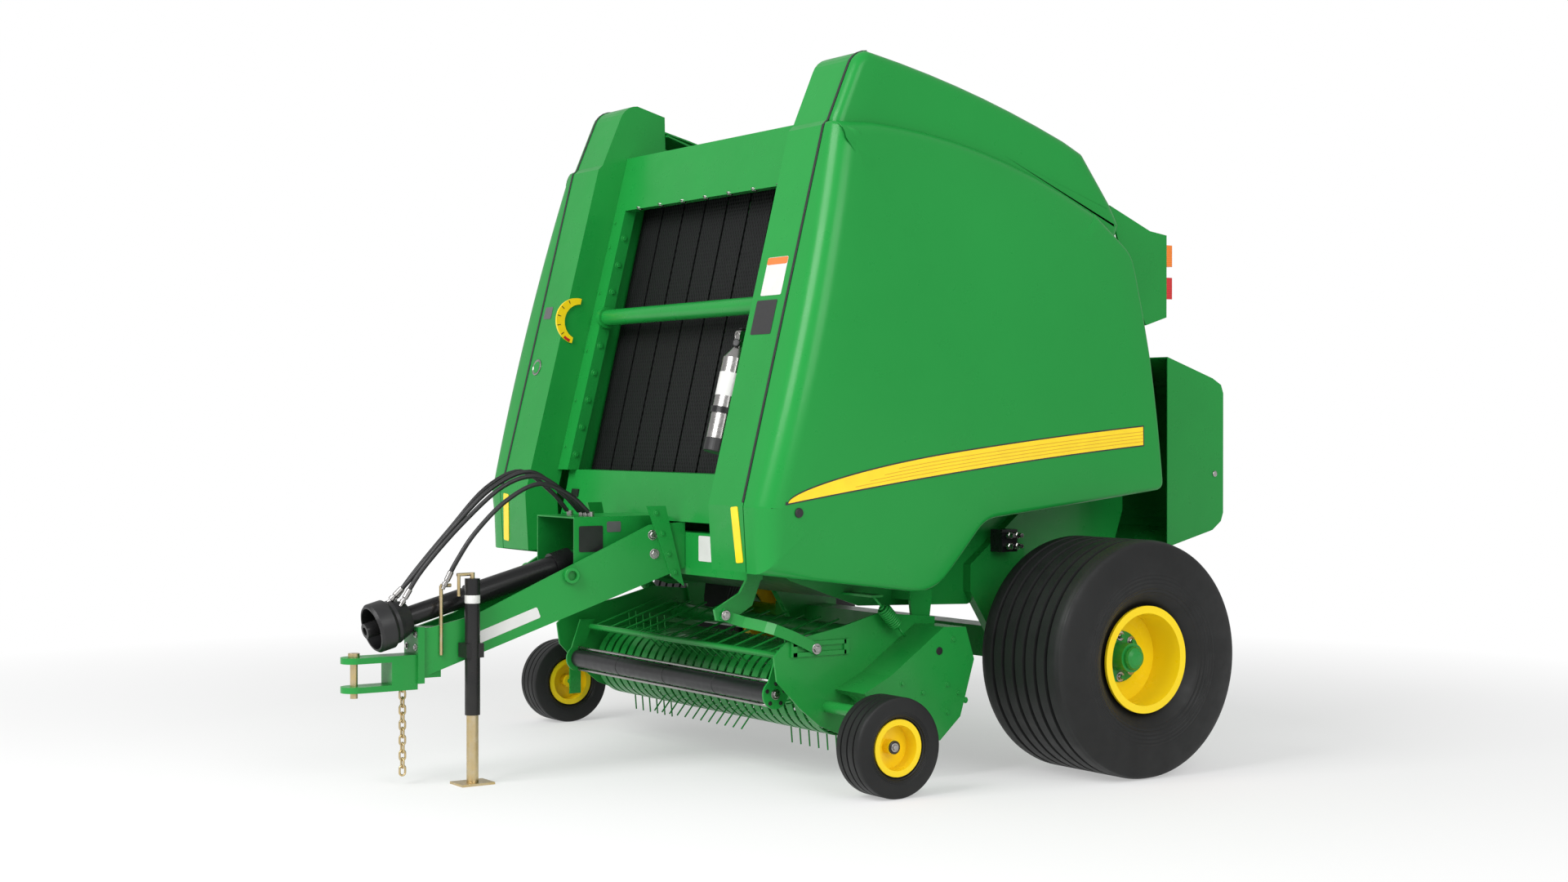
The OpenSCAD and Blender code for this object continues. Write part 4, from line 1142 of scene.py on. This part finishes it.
add_tyres()
add_front_shells()
add_shields()
add_tongue_arms()
add_tongue_fittings()
add_round_marks()
add_seam_shade_strips()
add_extinguisher_details()
add_gauge_ticks()
add_lift_linkage()
add_pickup_fittings()
add_wheel_fittings()
add_valve_block()
add_jack_band()


def add_floor():
    """Pale floor that keeps the shadow near the machine and runs out to white."""
    bpy.ops.mesh.primitive_plane_add(size=80)
    floor = bpy.context.object
    floor.name = "floor"
    g = Graph("floor")
    g.set(Base_Color=(0.86, 0.86, 0.86, 1), Roughness=0.75)
    far = g.add("ShaderNodeVectorMath")
    far.operation = "LENGTH"
    g.join(g.place, far, 0)
    fade = g.spread(far.outputs["Value"], 0.42, 1.0, 3.0, 6.5)
    rays = g.add("ShaderNodeLightPath").outputs
    share = g.math("MULTIPLY", g.math("MAXIMUM", rays["Is Camera Ray"], rays["Is Glossy Ray"]), fade)
    white = g.add("ShaderNodeEmission", Color=(1, 1, 1, 1))
    mix = g.add("ShaderNodeMixShader")
    for key, socket in enumerate((share, g.shader.outputs[0], white.outputs[0])):
        g.join(socket, mix, key)
    g.join(mix.outputs[0], g.nodes["Material Output"], "Surface")
    floor.data.materials.append(g.material)


# Strength of the room's own light on the machine
ROOM_LIGHT = 0.58


def add_light():
    """Room that the camera sees as white, with one large soft lamp over the front and one at the left."""
    world = bpy.data.worlds.new("studio")
    bpy.context.scene.world = world
    world.use_nodes = True
    nodes, links = world.node_tree.nodes, world.node_tree.links
    light = nodes["Background"]
    light.inputs["Color"].default_value = (1, 1, 1, 1)
    light.inputs["Strength"].default_value = ROOM_LIGHT
    seen = nodes.new("ShaderNodeBackground")
    seen.inputs["Color"].default_value = (1, 1, 1, 1)
    seen.inputs["Strength"].default_value = 1.0
    rays = nodes.new("ShaderNodeLightPath")
    mix = nodes.new("ShaderNodeMixShader")
    for key, socket in enumerate((rays.outputs["Is Camera Ray"], light.outputs[0], seen.outputs[0])):
        links.new(socket, mix.inputs[key])
    links.new(mix.outputs[0], nodes["World Output"].inputs["Surface"])
    for name, place, aim, size, power in (("key", (7.5, 1.5, 6.5), (0.3, 0.2, 1.2), 5.0, 620),
                                          ("side", (1.0, 9.0, 5.0), (-0.3, 0.8, 1.2), 5.0, 300)):
        lamp = bpy.data.lights.new(name, "AREA")
        lamp.energy = power
        lamp.size = size
        obj = bpy.data.objects.new(name, lamp)
        bpy.context.scene.collection.objects.link(obj)
        obj.location = place
        obj.rotation_euler = (Vector(aim) - Vector(place)).to_track_quat("-Z", "Y").to_euler()


add_floor()
add_light()
bpy.context.scene.view_settings.view_transform = "Standard"
